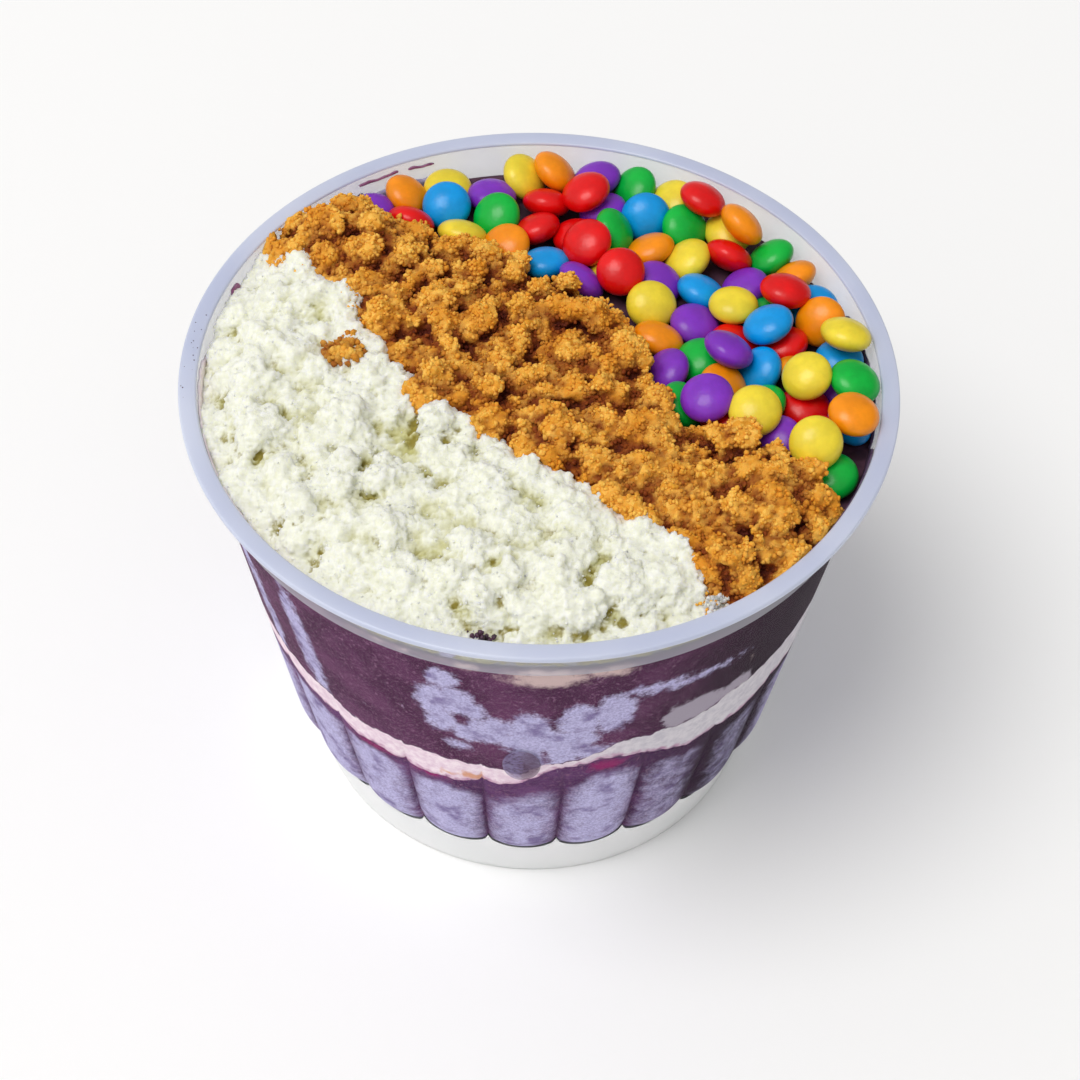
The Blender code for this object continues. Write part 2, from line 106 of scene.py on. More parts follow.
CANDY_HALF = 2.6 * MM
CANDY_COUNT = 118
CANDY_SEED = 5
CANDY_ROUNDS = 500
CANDY_DROP = (3, 14)
CANDY_FALL = 0.25 * MM
CANDY_PUSH = 0.4
CANDY_CLOSENESS = 0.9
CANDY_TILT = (math.radians(6.0), math.radians(52.0))
CANDY_GAP = 0.45 * MM
CANDY_SINK = 0.6 * MM
CORE_DEPTH = 1.4 * MM
CORE_BANK = 1.0 * MM
CORE_BANK_WIDTH = 24.0 * MM
HEAP_TOP = 91.6 * MM
HEAP_SLOPE = 0.05
BED = ACAI_TOP + GAP

# The camera: its lens in pixels of a 1080 pixel frame, its aim and its roll, and where
# the rim's centre lies from it to the right, up and ahead
FRAME_PIXELS = 1080
FOCAL_PIXELS = 2500
CAMERA_ELEVATION = math.radians(50.27)
CAMERA_ROLL = math.radians(-1.66)
RIM_FROM_CAMERA = (-0.03 * MM, 28.1 * MM, 416.7 * MM)


def cone_radius(height):
    return CONE_TOP_RADIUS - CONE_SLOPE * (TUB_HEIGHT - height)


def foot_radius(height):
    return FOOT_RADIUS + FOOT_SLOPE * height


def flute_arch(azimuth):
    """0 in a groove and 1 on the crest of a lobe."""
    across = ((azimuth - FIRST_GROOVE) * FLUTES / (2 * math.pi)) % 1.0 * 2 - 1
    return np.sqrt(np.clip(1 - across ** 2, 0, 1))


def lobe_foot(azimuth):
    return GROOVE_FOOT + (LOBE_FOOT - GROOVE_FOOT) * flute_arch(azimuth)


def wall_radius(height, azimuth):
    """Outer radius of the tub's wall."""
    arch = flute_arch(azimuth)
    up = np.clip((height - lobe_foot(azimuth)) / LOBE_ROUNDING, 0, 1)
    step = cone_radius(LOBE_FOOT) - foot_radius(LOBE_FOOT)
    lobe = cone_radius(height) - step * (1 - up) ** 2.5
    along = np.clip((height - GROOVE_FOOT) / (FLUTE_TOP - GROOVE_FOOT), 0, 1)
    deepest = cone_radius(GROOVE_FOOT) - foot_radius(GROOVE_FOOT)
    groove = cone_radius(height) - deepest * (1 - along)
    fluted = groove + (lobe - groove) * arch ** 0.75
    return np.where(height < FLUTE_TOP, fluted, cone_radius(height))


def all_round(columns):
    """Even azimuths from the first groove on."""
    return FIRST_GROOVE + np.arange(columns) * 2 * math.pi / columns


def wrapped(turn):
    """Azimuths from -pi to pi."""
    return (turn + math.pi) % (2 * math.pi) - math.pi


def around(radius, azimuth, height):
    radius, azimuth, height = np.broadcast_arrays(radius, azimuth, height)
    return np.stack([radius * np.sin(azimuth), -radius * np.cos(azimuth), height], axis=-1)


def smooth_line(u, v, at):
    """A smooth line through points, read at some places."""
    slope = np.gradient(v, u)
    i = np.clip(np.searchsorted(u, at) - 1, 0, len(u) - 2)
    span = u[i + 1] - u[i]
    s = (at - u[i]) / span
    start = (2 * s ** 3 - 3 * s ** 2 + 1) * v[i] + (s ** 3 - 2 * s ** 2 + s) * span * slope[i]
    end = (3 * s ** 2 - 2 * s ** 3) * v[i + 1] + (s ** 3 - s ** 2) * span * slope[i + 1]
    return start + end


PLAN_RADIUS = cone_radius(BED) - WALL - GAP


def to_stripe(x, y):
    """Distances along and across the stripes."""
    return x * STRIPE_COS + y * STRIPE_SIN, -x * STRIPE_SIN + y * STRIPE_COS


def from_stripe(along, across):
    x, y = along * STRIPE_COS - across * STRIPE_SIN, along * STRIPE_SIN + across * STRIPE_COS
    return np.stack([x, y], axis=-1)


def edge_offset(points, along):
    u, v = np.array(points, float).T * MM
    return smooth_line(u, v, along)


def edge_normal(points, along):
    step = 0.5 * MM
    rise = (edge_offset(points, along + step) - edge_offset(points, along - step)) / (2 * step)
    length = np.sqrt(1 + rise ** 2)
    return length, from_stripe(-rise / length, 1 / length)


def scatter_lumps(seed, spacing):
    rng = np.random.default_rng(seed)
    steps = int(2 * PLAN_RADIUS / spacing) + 3
    column, row = np.meshgrid(np.arange(steps), np.arange(steps))
    x = (column + 0.5 * (row % 2) - steps / 2) * spacing
    y = (row - steps / 2) * spacing * 0.87
    x = x + rng.uniform(-0.35, 0.35, x.shape) * spacing
    y = y + rng.uniform(-0.35, 0.35, y.shape) * spacing
    size = spacing * rng.uniform(0.42, 0.74, x.shape)
    rise = rng.uniform(0.4, 1.0, x.shape)
    return np.stack([x.ravel(), y.ravel(), size.ravel(), rise.ravel()], axis=-1)


def lump_relief(x, y, lumps):
    relief = np.zeros(np.shape(x))
    for cx, cy, size, rise in lumps:
        near = 1 - ((x - cx) ** 2 + (y - cy) ** 2) / size ** 2
        relief = np.maximum(relief, rise * np.sqrt(np.clip(near, 0, 1)))
    return relief


def ease(x):
    x = np.clip(x, 0, 1)
    return x * x * (3 - 2 * x)


def powder_height(plan):
    x, y = plan[..., 0], plan[..., 1]
    inland = ease((PLAN_RADIUS - np.hypot(x, y)) / POWDER_SHOULDER)
    lumps = lump_relief(x, y, scatter_lumps(POWDER_SEED, POWDER_LUMP_SPACING))
    base = POWDER_WALL_HEIGHT + (POWDER_DEPTH - POWDER_WALL_HEIGHT) * inland
    return BED + base + POWDER_RELIEF * lumps * (0.5 + 0.5 * inland)


def crumble_height(plan):
    x, y = plan[..., 0], plan[..., 1]
    along, across = to_stripe(x, y)
    low = edge_offset(POWDER_EDGE, along)
    high = edge_offset(CANDY_EDGE, along)
    share = np.clip((across - low) / (high - low), 0, 1)
    crest = CRUMBLE_CREST * np.sin(math.pi * share)
    inland = ease((PLAN_RADIUS - np.hypot(x, y)) / CRUMBLE_SHOULDER)
    tall_x, tall_y = np.array(TALL_LUMP) * MM
    tall = ease(1 - np.hypot(along - tall_x, across - tall_y) / TALL_LUMP_RADIUS)
    lumps = lump_relief(x, y, scatter_lumps(CRUMBLE_SEED, CRUMBLE_LUMP_SPACING))
    base = CRUMBLE_DEPTH + crest - CRUMBLE_WALL_DROP * (1 - inland) + TALL_LUMP_HEIGHT * tall
    return BED + base + CRUMBLE_RELIEF * (lumps - 0.5)


def core_height(plan):
    along, across = to_stripe(plan[..., 0], plan[..., 1])
    away = across - edge_offset(CANDY_EDGE, along)
    return BED + CORE_DEPTH + CORE_BANK * (1 - ease(away / CORE_BANK_WIDTH))


def edge_way(x, y):
    along, across = to_stripe(x, y)
    length, away = edge_normal(CANDY_EDGE, along)
    return (across - edge_offset(CANDY_EDGE, along)) / length, away


def reach_along(axes, direction):
    """How far buttons with these axes reach in a direction."""
    lean = np.einsum("ij,ij->i", axes, direction) ** 2
    return np.sqrt(CANDY_RADIUS ** 2 * (1 - lean) + CANDY_HALF ** 2 * lean)


def button_shapes(axes):
    """Matrices of the buttons' shapes, as flat balls."""
    along_axes = axes[:, :, None] * axes[:, None, :]
    return CANDY_RADIUS ** 2 * np.eye(3) + (CANDY_HALF ** 2 - CANDY_RADIUS ** 2) * along_axes


def settle_candies():
    """Centres and axes of the buttons, as in the solid."""
    rng = np.random.default_rng(CANDY_SEED)
    places = []
    while len(places) < CANDY_COUNT:
        x, y = rng.uniform(-PLAN_RADIUS, PLAN_RADIUS, 2)
        inside = np.hypot(x, y) < PLAN_RADIUS - CANDY_RADIUS
        if inside and edge_way(x, y)[0] > 0.8 * CANDY_RADIUS:
            places.append((x, y, BED + rng.uniform(*CANDY_DROP) * MM))
    centre = np.array(places)
    tilt = rng.uniform(*CANDY_TILT, CANDY_COUNT)
    turn = rng.uniform(0, 2 * math.pi, CANDY_COUNT)
    axes = np.stack([np.sin(tilt) * np.cos(turn), np.sin(tilt) * np.sin(turn), np.cos(tilt)], axis=-1)
    shape = button_shapes(axes)
    first, second = np.triu_indices(CANDY_COUNT, 1)
    metric = np.linalg.inv(shape[first] + shape[second])
    down = np.tile([0.0, 0.0, 1.0], (CANDY_COUNT, 1))
    bottom = reach_along(axes, down)
    for stage in range(CANDY_ROUNDS):
        centre[:, 2] -= CANDY_FALL * (1 - stage / CANDY_ROUNDS)
        apart = centre[second] - centre[first]
        pull = np.einsum("nij,nj->ni", metric, apart)
        touch = np.einsum("ni,ni->n", apart, pull) / 2
        close = touch < CANDY_CLOSENESS
        way = pull[close] / np.linalg.norm(pull[close], axis=1, keepdims=True)
        depth = np.einsum("ni,ni->n", apart[close], way) * (np.sqrt(CANDY_CLOSENESS / touch[close]) - 1)
        push = CANDY_PUSH * depth[:, None] * way
        np.add.at(centre, second[close], push)
        np.add.at(centre, first[close], -push)
        distance, away = edge_way(centre[:, 0], centre[:, 1])
        direction = np.column_stack([away, np.zeros(CANDY_COUNT)])
        short = np.clip(reach_along(axes, direction) + CANDY_GAP - distance, 0, None)
        centre[:, :2] += short[:, None] * away
        spoke = np.hypot(centre[:, 0], centre[:, 1])
        out = np.column_stack([centre[:, 0] / spoke, centre[:, 1] / spoke, np.zeros(CANDY_COUNT)])
        room = cone_radius(centre[:, 2]) - WALL - CANDY_GAP - reach_along(axes, out)
        centre[:, :2] *= np.minimum(1, room / spoke)[:, None]
        floor = core_height(centre[:, :2]) + bottom - CANDY_SINK
        centre[:, 2] = np.maximum(centre[:, 2], floor)
    kept = centre[:, 2] < HEAP_TOP - HEAP_SLOPE * centre[:, 1]
    return centre[kept], axes[kept]


# Meshes

def add_object(name, data):
    item = bpy.data.objects.new(name, data)
    bpy.context.scene.collection.objects.link(item)
    return item


def mesh_piece(name, points, faces, materials, slot, node=None, smooth=True):
    """A shown piece that rides on the body; it may stand for a solid."""
    mesh = bpy.data.meshes.new(name)
    points = np.asarray(points, np.float32).reshape(-1, 3)
    faces = np.asarray(faces, np.int32)
    corners = faces.shape[1]
    mesh.vertices.add(len(points))
    mesh.vertices.foreach_set("co", points.ravel())
    mesh.loops.add(faces.size)
    mesh.loops.foreach_set("vertex_index", faces.ravel())
    mesh.polygons.add(len(faces))
    mesh.polygons.foreach_set("loop_start", np.arange(len(faces), dtype=np.int32) * corners)
    mesh.update(calc_edges=True)
    mesh.validate()
    if smooth:
        mesh.shade_smooth()
    for material in materials:
        mesh.materials.append(material)
    return show(mesh, name, node)


def show(mesh, name, node):
    piece = add_object(name, mesh)
    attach(piece, BODY)
    if node:
        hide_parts(node)
    return piece


def ring_faces(rows, sides):
    """Quads between rings of points, closed round the tub."""
    index = np.arange(rows * sides).reshape(rows, sides)
    after = np.roll(index, -1, axis=1)
    quads = np.stack([index[:-1], after[:-1], after[1:], index[1:]], axis=-1)
    return quads.reshape(-1, 4)


def grid_faces(rows, columns):
    """Quads of an open grid of points."""
    index = np.arange(rows * columns).reshape(rows, columns)
    quads = np.stack([index[:-1, :-1], index[:-1, 1:], index[1:, 1:], index[1:, :-1]], axis=-1)
    return quads.reshape(-1, 4)


def joined(parts):
    """Several sets of points and faces as one."""
    points, faces = zip(*parts)
    starts = np.cumsum([0, *map(len, points[:-1])])
    return np.concatenate(points), np.concatenate([face + start for face, start in zip(faces, starts)])


def store(piece, **fields):
    """Keep numbers for each point of a mesh, for its material."""
    for name, values in fields.items():
        attribute = piece.data.attributes.new(name, "FLOAT", "POINT")
        attribute.data.foreach_set("value", np.asarray(values, np.float32).ravel())


def weld(piece):
    """Join the points that a fan's middle repeats, and turn the faces outwards."""
    shape = bmesh.new()
    shape.from_mesh(piece.data)
    bmesh.ops.remove_doubles(shape, verts=shape.verts, dist=TINY)
    bmesh.ops.recalc_face_normals(shape, faces=shape.faces)
    shape.to_mesh(piece.data)
    shape.free()


# Materials

class Nodes:
    """Short calls for making a material's nodes."""

    def __init__(self, name, **settings):
        self.material = bpy.data.materials.new(name)
        self.material.use_nodes = True
        self.tree = self.material.node_tree
        self.shader = self.tree.nodes["Principled BSDF"]
        self.set(self.shader, settings)

    def set(self, node, settings):
        for key, value in settings.items():
            node.inputs[key.replace("_", " ")].default_value = value

    def node(self, kind, **settings):
        node = self.tree.nodes.new("ShaderNode" + kind)
        self.set(node, settings)
        return node

    def feed(self, value, socket):
        """Link a socket, or set it to a number or a colour."""
        if isinstance(value, (int, float)):
            socket.default_value = value
        elif isinstance(value, tuple):
            socket.default_value = linear(value)
        else:
            self.tree.links.new(value, socket)

    def colour(self, source):
        self.feed(source, self.shader.inputs["Base Color"])

    def attribute(self, name):
        node = self.node("Attribute")
        node.attribute_name = name
        return node.outputs["Fac"]

    def placed(self, node, stretch=None):
        """Lay a node's pattern out by the object's own coordinates."""
        place = self.node("TexCoord").outputs["Object"]
        if stretch:
            mapping = self.node("Mapping", Scale=stretch)
            self.feed(place, mapping.inputs["Vector"])
            place = mapping.outputs["Vector"]
        self.feed(place, node.inputs["Vector"])
        return node

    def noise(self, scale, detail=3.0, roughness=0.55, stretch=None):
        node = self.node("TexNoise", Scale=scale, Detail=detail, Roughness=roughness)
        return self.placed(node, stretch).outputs["Fac"]

    def uneven(self, size, scale, detail=3.0, roughness=0.55):
        """Noise about zero, half a size either way."""
        centred = self.math("SUBTRACT", self.noise(scale, detail, roughness), 0.5)
        return self.math("MULTIPLY", centred, size)

    def cell_tints(self, scale):
        """A random number for each cell of a pattern."""
        cells = self.placed(self.node("TexVoronoi", Scale=scale))
        split = self.node("SeparateColor")
        self.feed(cells.outputs["Color"], split.inputs["Color"])
        return split.outputs[0]

    def math(self, operation, first, second):
        node = self.node("Math")
        node.operation = operation
        self.feed(first, node.inputs[0])
        self.feed(second, node.inputs[1])
        return node.outputs["Value"]

    def steps(self, value, low, high):
        """0 below low and 1 above high."""
        node = self.node("MapRange", From_Min=low, From_Max=high)
        node.interpolation_type = "SMOOTHSTEP"
        self.feed(value, node.inputs["Value"])
        return node.outputs["Result"]

    def where(self, field, ragged, low, high):
        """0 where a field with a ragged edge is below low, and 1 where it is above high."""
        return self.steps(self.math("ADD", self.attribute(field), ragged), low, high)

    def mix(self, share, first, second, most=None):
        """From the first colour to the second; most keeps some of the first."""
        if most is not None:
            share = self.math("MULTIPLY", share, most)
        node = self.node("Mix")
        node.data_type = "RGBA"
        self.feed(share, node.inputs[0])
        self.feed(first, node.inputs[6])
        self.feed(second, node.inputs[7])
        return node.outputs[2]

    def mottle(self, first, second, scale, detail, low, high, roughness=0.55):
        """Two colours in clouds."""
        return self.mix(self.steps(self.noise(scale, detail, roughness), low, high), first, second)

    def bump(self, depth, scale, detail=3.0, roughness=0.55):
        node = self.node("Bump", Strength=1.0, Distance=depth)
        self.feed(self.noise(scale, detail, roughness), node.inputs["Height"])
        self.feed(node.outputs["Normal"], self.shader.inputs["Normal"])


def linear(colour):
    """A colour as seen on a screen, from 0 to 255, as the renderer takes it."""
    share = np.array(colour, float) / 255
    value = np.where(share <= 0.04045, share / 12.92, ((share + 0.055) / 1.055) ** 2.4)
    return (*map(float, value), 1.0)


# The tub

TUB_COLUMNS = FLUTES * 20
EDGE_ROUNDING = 0.35 * MM
FOOT_EDGE = 0.25 * MM
LIP_EDGE = 0.3 * MM


def tub_profile(turn):
    """Rings of the tub's surface, from inside the foot round the rim and back down."""
    edge = lobe_foot(turn)
    lip_bottom = TUB_HEIGHT - LIP_HEIGHT
    collar_bottom = TUB_HEIGHT - COLLAR_HEIGHT
    collar_top = cone_radius(lip_bottom) + COLLAR_STEP
    inner_top = cone_radius(TUB_HEIGHT) - WALL
    rings = []

    def ring(radius, height, zone):
        rings.append((around(radius, turn, height), zone))

    def corner(radius, height, angles, size):
        for angle in np.radians(angles):
            ring(radius + size * math.cos(angle), height + size * math.sin(angle), "rim")

    for share in np.linspace(0, 1, 6):
        ring(share * (foot_radius(RECESS_DEPTH) - FOOT_WALL - 0.6 * MM), RECESS_DEPTH, "foot")
    for radius, height in (
            (foot_radius(RECESS_DEPTH) - FOOT_WALL - 0.1 * MM, RECESS_DEPTH - 0.5 * MM),
            (FOOT_RADIUS - FOOT_WALL, FOOT_EDGE), (FOOT_RADIUS - FOOT_WALL + FOOT_EDGE, 0.0),
            (FOOT_RADIUS - FOOT_EDGE, 0.0), (FOOT_RADIUS + 0.05 * MM, LIP_EDGE)):
        ring(radius, height, "foot")
    for share in (0.15, 0.35, 0.6, 0.85):
        ring(foot_radius(share * edge), share * edge, "foot")
    ring(wall_radius(edge, turn), edge, "foot")
    for share in np.concatenate([np.linspace(0.012, 0.3, 14), np.linspace(0.34, 1.0, 22)]):
        height = edge + share * (FLUTE_TOP - edge)
        ring(wall_radius(height, turn), height, "cone")
    for height in np.linspace(FLUTE_TOP, collar_bottom, 10)[1:]:
        ring(cone_radius(height), height, "cone")
    ring(cone_radius(collar_bottom) + 0.7 * COLLAR_STEP, collar_bottom + 0.04 * MM, "collar")
    ring(cone_radius(collar_bottom) + COLLAR_STEP, collar_bottom + FOOT_EDGE, "collar")
    ring(collar_top, lip_bottom - LIP_EDGE, "collar")
    ring(collar_top + LIP_EDGE, lip_bottom, "rim")
    corner(RIM_RADIUS - EDGE_ROUNDING, lip_bottom + EDGE_ROUNDING, (-90, -60, -30, 0), EDGE_ROUNDING)
    corner(RIM_RADIUS - EDGE_ROUNDING, TUB_HEIGHT - EDGE_ROUNDING, (0, 22, 45, 67, 90), EDGE_ROUNDING)
    corner(inner_top + RIM_CHAMFER, TUB_HEIGHT - RIM_CHAMFER, (90, 112, 135, 157, 180), RIM_CHAMFER)
    for height in np.linspace(TUB_HEIGHT - 1.0 * MM, ACAI_TOP, 6):
        ring(cone_radius(height) - WALL, height, "collar")
    for height in np.linspace(FLUTE_TOP, ACAI_TOP, 4)[::-1][1:]:
        ring(cone_radius(height) - WALL, height, "cone")
    for share in (0.75, 0.5, 0.3, 0.18, 0.1, 0.05):
        height = edge + share * (FLUTE_TOP - edge)
        ring(wall_radius(height, turn) - WALL, height, "cone")
    for share in np.linspace(0.98, 0, 4):
        ring(share * (FOOT_RADIUS - WALL), FLOOR_TOP, "cone")
    return rings


def plastic(name, tones, clouds, grain, **settings):
    """A plastic of two tones; clouds are their noise and bounds, grain is the bump's."""
    m = Nodes(name, IOR=1.46, **settings)
    m.colour(m.mottle(*tones, *clouds))
    m.bump(*grain)
    return m.material


def make_tub():
    turn = all_round(TUB_COLUMNS)
    rings = tub_profile(turn)
    points = np.stack([ring for ring, zone in rings])
    materials = {
        "rim": plastic(
            "rim_plastic", ((184, 190, 214), (200, 205, 224)), (35.0, 2.0, 0.3, 0.7), (0.00004, 260.0),
            Roughness=0.3, Subsurface_Weight=0.3, Subsurface_Scale=0.003, Subsurface_Radius=(0.9, 0.95, 1.0)),
        "collar": plastic(
            "collar_plastic", ((226, 229, 244), (240, 242, 252)), (60.0, 3.0, 0.3, 0.7), (0.00005, 420.0),
            Roughness=0.3, Alpha=0.34),
        "cone": plastic(
            "clear_plastic", ((204, 204, 226), (220, 220, 238)), (80.0, 3.0, 0.35, 0.7), (0.00006, 420.0),
            Roughness=0.25, Alpha=0.015),
        "foot": plastic(
            "foot_plastic", ((248, 250, 249), (254, 254, 254)), (60.0, 3.0, 0.35, 0.7), (0.00005, 700.0, 4.0),
            Roughness=0.4, Subsurface_Weight=0.4, Subsurface_Scale=0.006, Subsurface_Radius=(1.0, 1.0, 1.0)),
    }
    piece = mesh_piece(
        "tub_shell", points, ring_faces(len(rings), TUB_COLUMNS), materials.values(), "tub_plastic", "tub")
    index = np.repeat([list(materials).index(zone) for ring, zone in rings[1:]], TUB_COLUMNS)
    piece.data.polygons.foreach_set("material_index", index.astype(np.int32))
    weld(piece)


# The layers of pulp and cream, just into the wall

LAYER_COLUMNS = FLUTES * 32
INSET = 0.42 * MM

# Patches seen through the wall: azimuth in degrees, height, and half sizes along and up,
# in millimetres
FROST = (
    (-15, 75, 2.3, 2.6), (-17, 67, 2.7, 4.8), (-13, 68, 3.2, 4.1), (-10, 66, 2.2, 2.4), (-16, 61, 2.4, 3.5),
    (-11, 58, 2.9, 2.5), (-6, 61, 3.8, 2.8), (0, 61, 3.1, 5.3), (-13, 53, 1.5, 1.1), (0.6, 54, 1.5, 6.4),
    (6.4, 53, 2.7, 5.7), (9, 63, 3.2, 4.2), (9, 67, 2.2, 2.0), (15, 65, 3.3, 5.6), (20, 71, 2.1, 1.1),
    (23, 70, 2.9, 1.0), (26, 69, 1.9, 1.0), (32, 69, 2.6, 0.6), (11, 52, 4.0, 1.7),
    (-7, 58, 4.4, 2.4), (-1, 56.5, 3.8, 3.4), (4.5, 57, 3.0, 3.6), (8, 57, 3.8, 3.4),
    (-47, 71, 1.8, 5.3), (-46, 65, 2.0, 6.1), (-45, 59, 2.0, 6.1), (-44, 53, 1.3, 4.4),
    (-61, 72, 1.6, 6.0), (-59, 64, 1.6, 6.0), (-57, 56, 1.6, 6.0),
)
GREY = ((28, 57, 3.7, 5.0), (33, 57, 5.7, 4.6), (41, 56, 4.8, 4.4))
DUST = (
    (3, 79.0, 8.0, 3.6), (13, 79.8, 5.0, 2.2), (-10, 81, 2.5, 1.3), (-25, 81.5, 9.0, 0.8),
    (43, 64.7, 0.5, 0.7),
)
STAINS = ((15, 46, 4.1, 2.1), (-31, 40, 6.0, 1.4), (-20, 38.5, 4.0, 1.0))
CARAMEL = ((-11, 41.5, 3.4, 1.8), (-15, 41.0, 2.0, 1.0))
HIDDEN_PATCHES = 26
FADE_BEHIND = 0.9
LOW_PULP = ((78, 42, 84), (106, 62, 112))
HIGH_PULP = ((74, 34, 66), (100, 54, 90))
LOBE_BAND = 2.4
FRONT_BAND = (5.0, math.radians(6), math.radians(16))
SHADED_LOBES = math.radians(28)
SHADE_FADE = 0.35
FAR_OUTSIDE = -9.0
LOBE_MOOD = (-0.5, 0.7)
LOBE_DEPTH = 4.2
SHADE_DEPTH = 2.2
BAND_DEPTH = 6.0


def cream_edge(turn, edge):
    """Height of the cream's bottom, edge 1, or its top, edge 2, a little ragged."""
    laps = [np.array(CREAM_EDGES) + (lap, 0, 0) for lap in (-360, 0, 360)]
    points = np.concatenate(laps)
    height = smooth_line(points[:, 0], points[:, edge] * MM, np.degrees(turn))
    waves = ((17, 0.30), (31, 0.26), (47, 0.20), (83, 0.16), (151, 0.10))
    ragged = sum(size * np.sin(count * turn + count * edge) for count, size in waves)
    return height + ragged * MM


def layer(name, turn, low, high, rows, material, slot, node):
    """A layer that reaches from one height at the wall to another."""
    share = np.linspace(0, 1, rows)[:, None]
    height = low[None] * (1 - share) + high[None] * share
    side = around(wall_radius(height, turn[None]) - INSET, turn[None], height)

    def fan(ring, share):
        middle = np.array([0, 0, ring[:, 2].mean()])
        return middle + (ring - middle) * share

    below = [fan(side[0], s) for s in (0.0, 0.5, 0.97)]
    above = [fan(side[-1], s) for s in (0.97, 0.5, 0.0)]
    points = np.concatenate([below, side, above])
    piece = mesh_piece(name, points, ring_faces(len(points), len(turn)), [material], slot, node)
    height = points[..., 2]
    return piece, np.broadcast_to(wrapped(turn), height.shape), height


def patch_field(azimuth, height, patches=()):
    """How deep inside one of the patches a point lies, in millimetres; negative outside."""
    field = np.full(height.shape, FAR_OUTSIDE)
    for degrees, level, along, up in patches:
        x = wrapped(azimuth - math.radians(degrees)) * cone_radius(level * MM) / MM
        reach = np.hypot(x / along, (height / MM - level) / up)
        field = np.maximum(field, (1 - reach) * min(along, up))
    return field


def on_right(azimuth, start, reach):
    """From 0 to 1 along the right side, and back to 0 behind."""
    return ease((azimuth - start) / reach) * ease((math.pi - azimuth) / FADE_BEHIND)


def hidden_patches():
    """Frost patches for the side that isn't seen from the front."""
    rng = np.random.default_rng(4)
    patches = []
    for _ in range(HIDDEN_PATCHES):
        degrees, level = rng.uniform(85, 285), rng.uniform(58, 74)
        along, up = rng.uniform(2, 5), rng.uniform(1.5, 5)
        patches.append((degrees, level, along, up))
        patches.append((degrees + rng.uniform(-5, 5), level + rng.uniform(-4, 4), 0.7 * along, 0.7 * up))
    return tuple(patches)


def pulp_material(name, softness, tones):
    """Frozen pulp in two tones. The fields are depths in millimetres; softness is how slowly
    frost ends."""
    m = Nodes(name, Roughness=0.65, Specular_IOR_Level=0.06)
    ragged = m.math("ADD", m.uneven(4.2, 480.0, 4.0, 0.6), m.uneven(1.4, 2300.0, 2.0))
    pale = m.mottle((170, 164, 204), (200, 194, 230), 2300.0, 2.0, 0.35, 0.65)
    pale = m.mottle(pale, (128, 114, 160), 260.0, 4.0, 0.48, 0.72)
    dark = m.mottle(*tones, 120.0, 3.0, 0.35, 0.65)
    dark = m.mottle(dark, (132, 88, 120), 1500.0, 3.0, 0.52, 0.7, 0.7)
    scratch = m.steps(m.noise(1.0, 4.0, 0.6, (900, 900, 170)), 0.66, 0.74)
    dark = m.mix(scratch, dark, (176, 150, 180), 0.45)
    # Painted shade: the pulp's colour darkens along the right side, away from the light.
    dark = m.mix(m.attribute("right"), dark, (30, 14, 26), 0.9)
    colour = m.mix(m.where("frost", ragged, -0.9 - softness, softness + 0.3), dark, pale)
    colour = m.mix(m.where("grey", ragged, 0.2, 1.4), colour, (168, 158, 172))
    colour = m.mix(m.where("stain", ragged, -0.6, 1.6), colour, (148, 30, 98), 0.85)
    colour = m.mix(m.where("dust", ragged, -0.4, 2.0), colour, (222, 196, 192), 0.85)
    m.colour(colour)
    m.bump(0.00008, 900.0)
    return m.material


def cream_material():
    m = Nodes("cream", Roughness=0.5, Specular_IOR_Level=0.3, Coat_Weight=0.1, Coat_Roughness=0.3)
    warm = m.mottle((228, 198, 216), (250, 232, 240), 700.0, 4.0, 0.3, 0.7)
    cool = m.mottle((196, 190, 200), (220, 214, 220), 700.0, 4.0, 0.3, 0.7)
    colour = m.mix(m.attribute("right"), warm, cool)
    ragged = m.uneven(4.2, 520.0, 4.0, 0.6)
    low = m.math("SUBTRACT", 1.0, m.where("low", ragged, 0.1, 1.5))
    colour = m.mix(low, colour, (170, 76, 140), 0.7)
    colour = m.mix(m.where("caramel", ragged, 0.0, 1.2), colour, (214, 138, 78), 0.85)
    m.colour(m.mix(m.where("inside", ragged, -0.1, 0.25), (92, 52, 92), colour))
    m.bump(0.00006, 800.0)
    return m.material


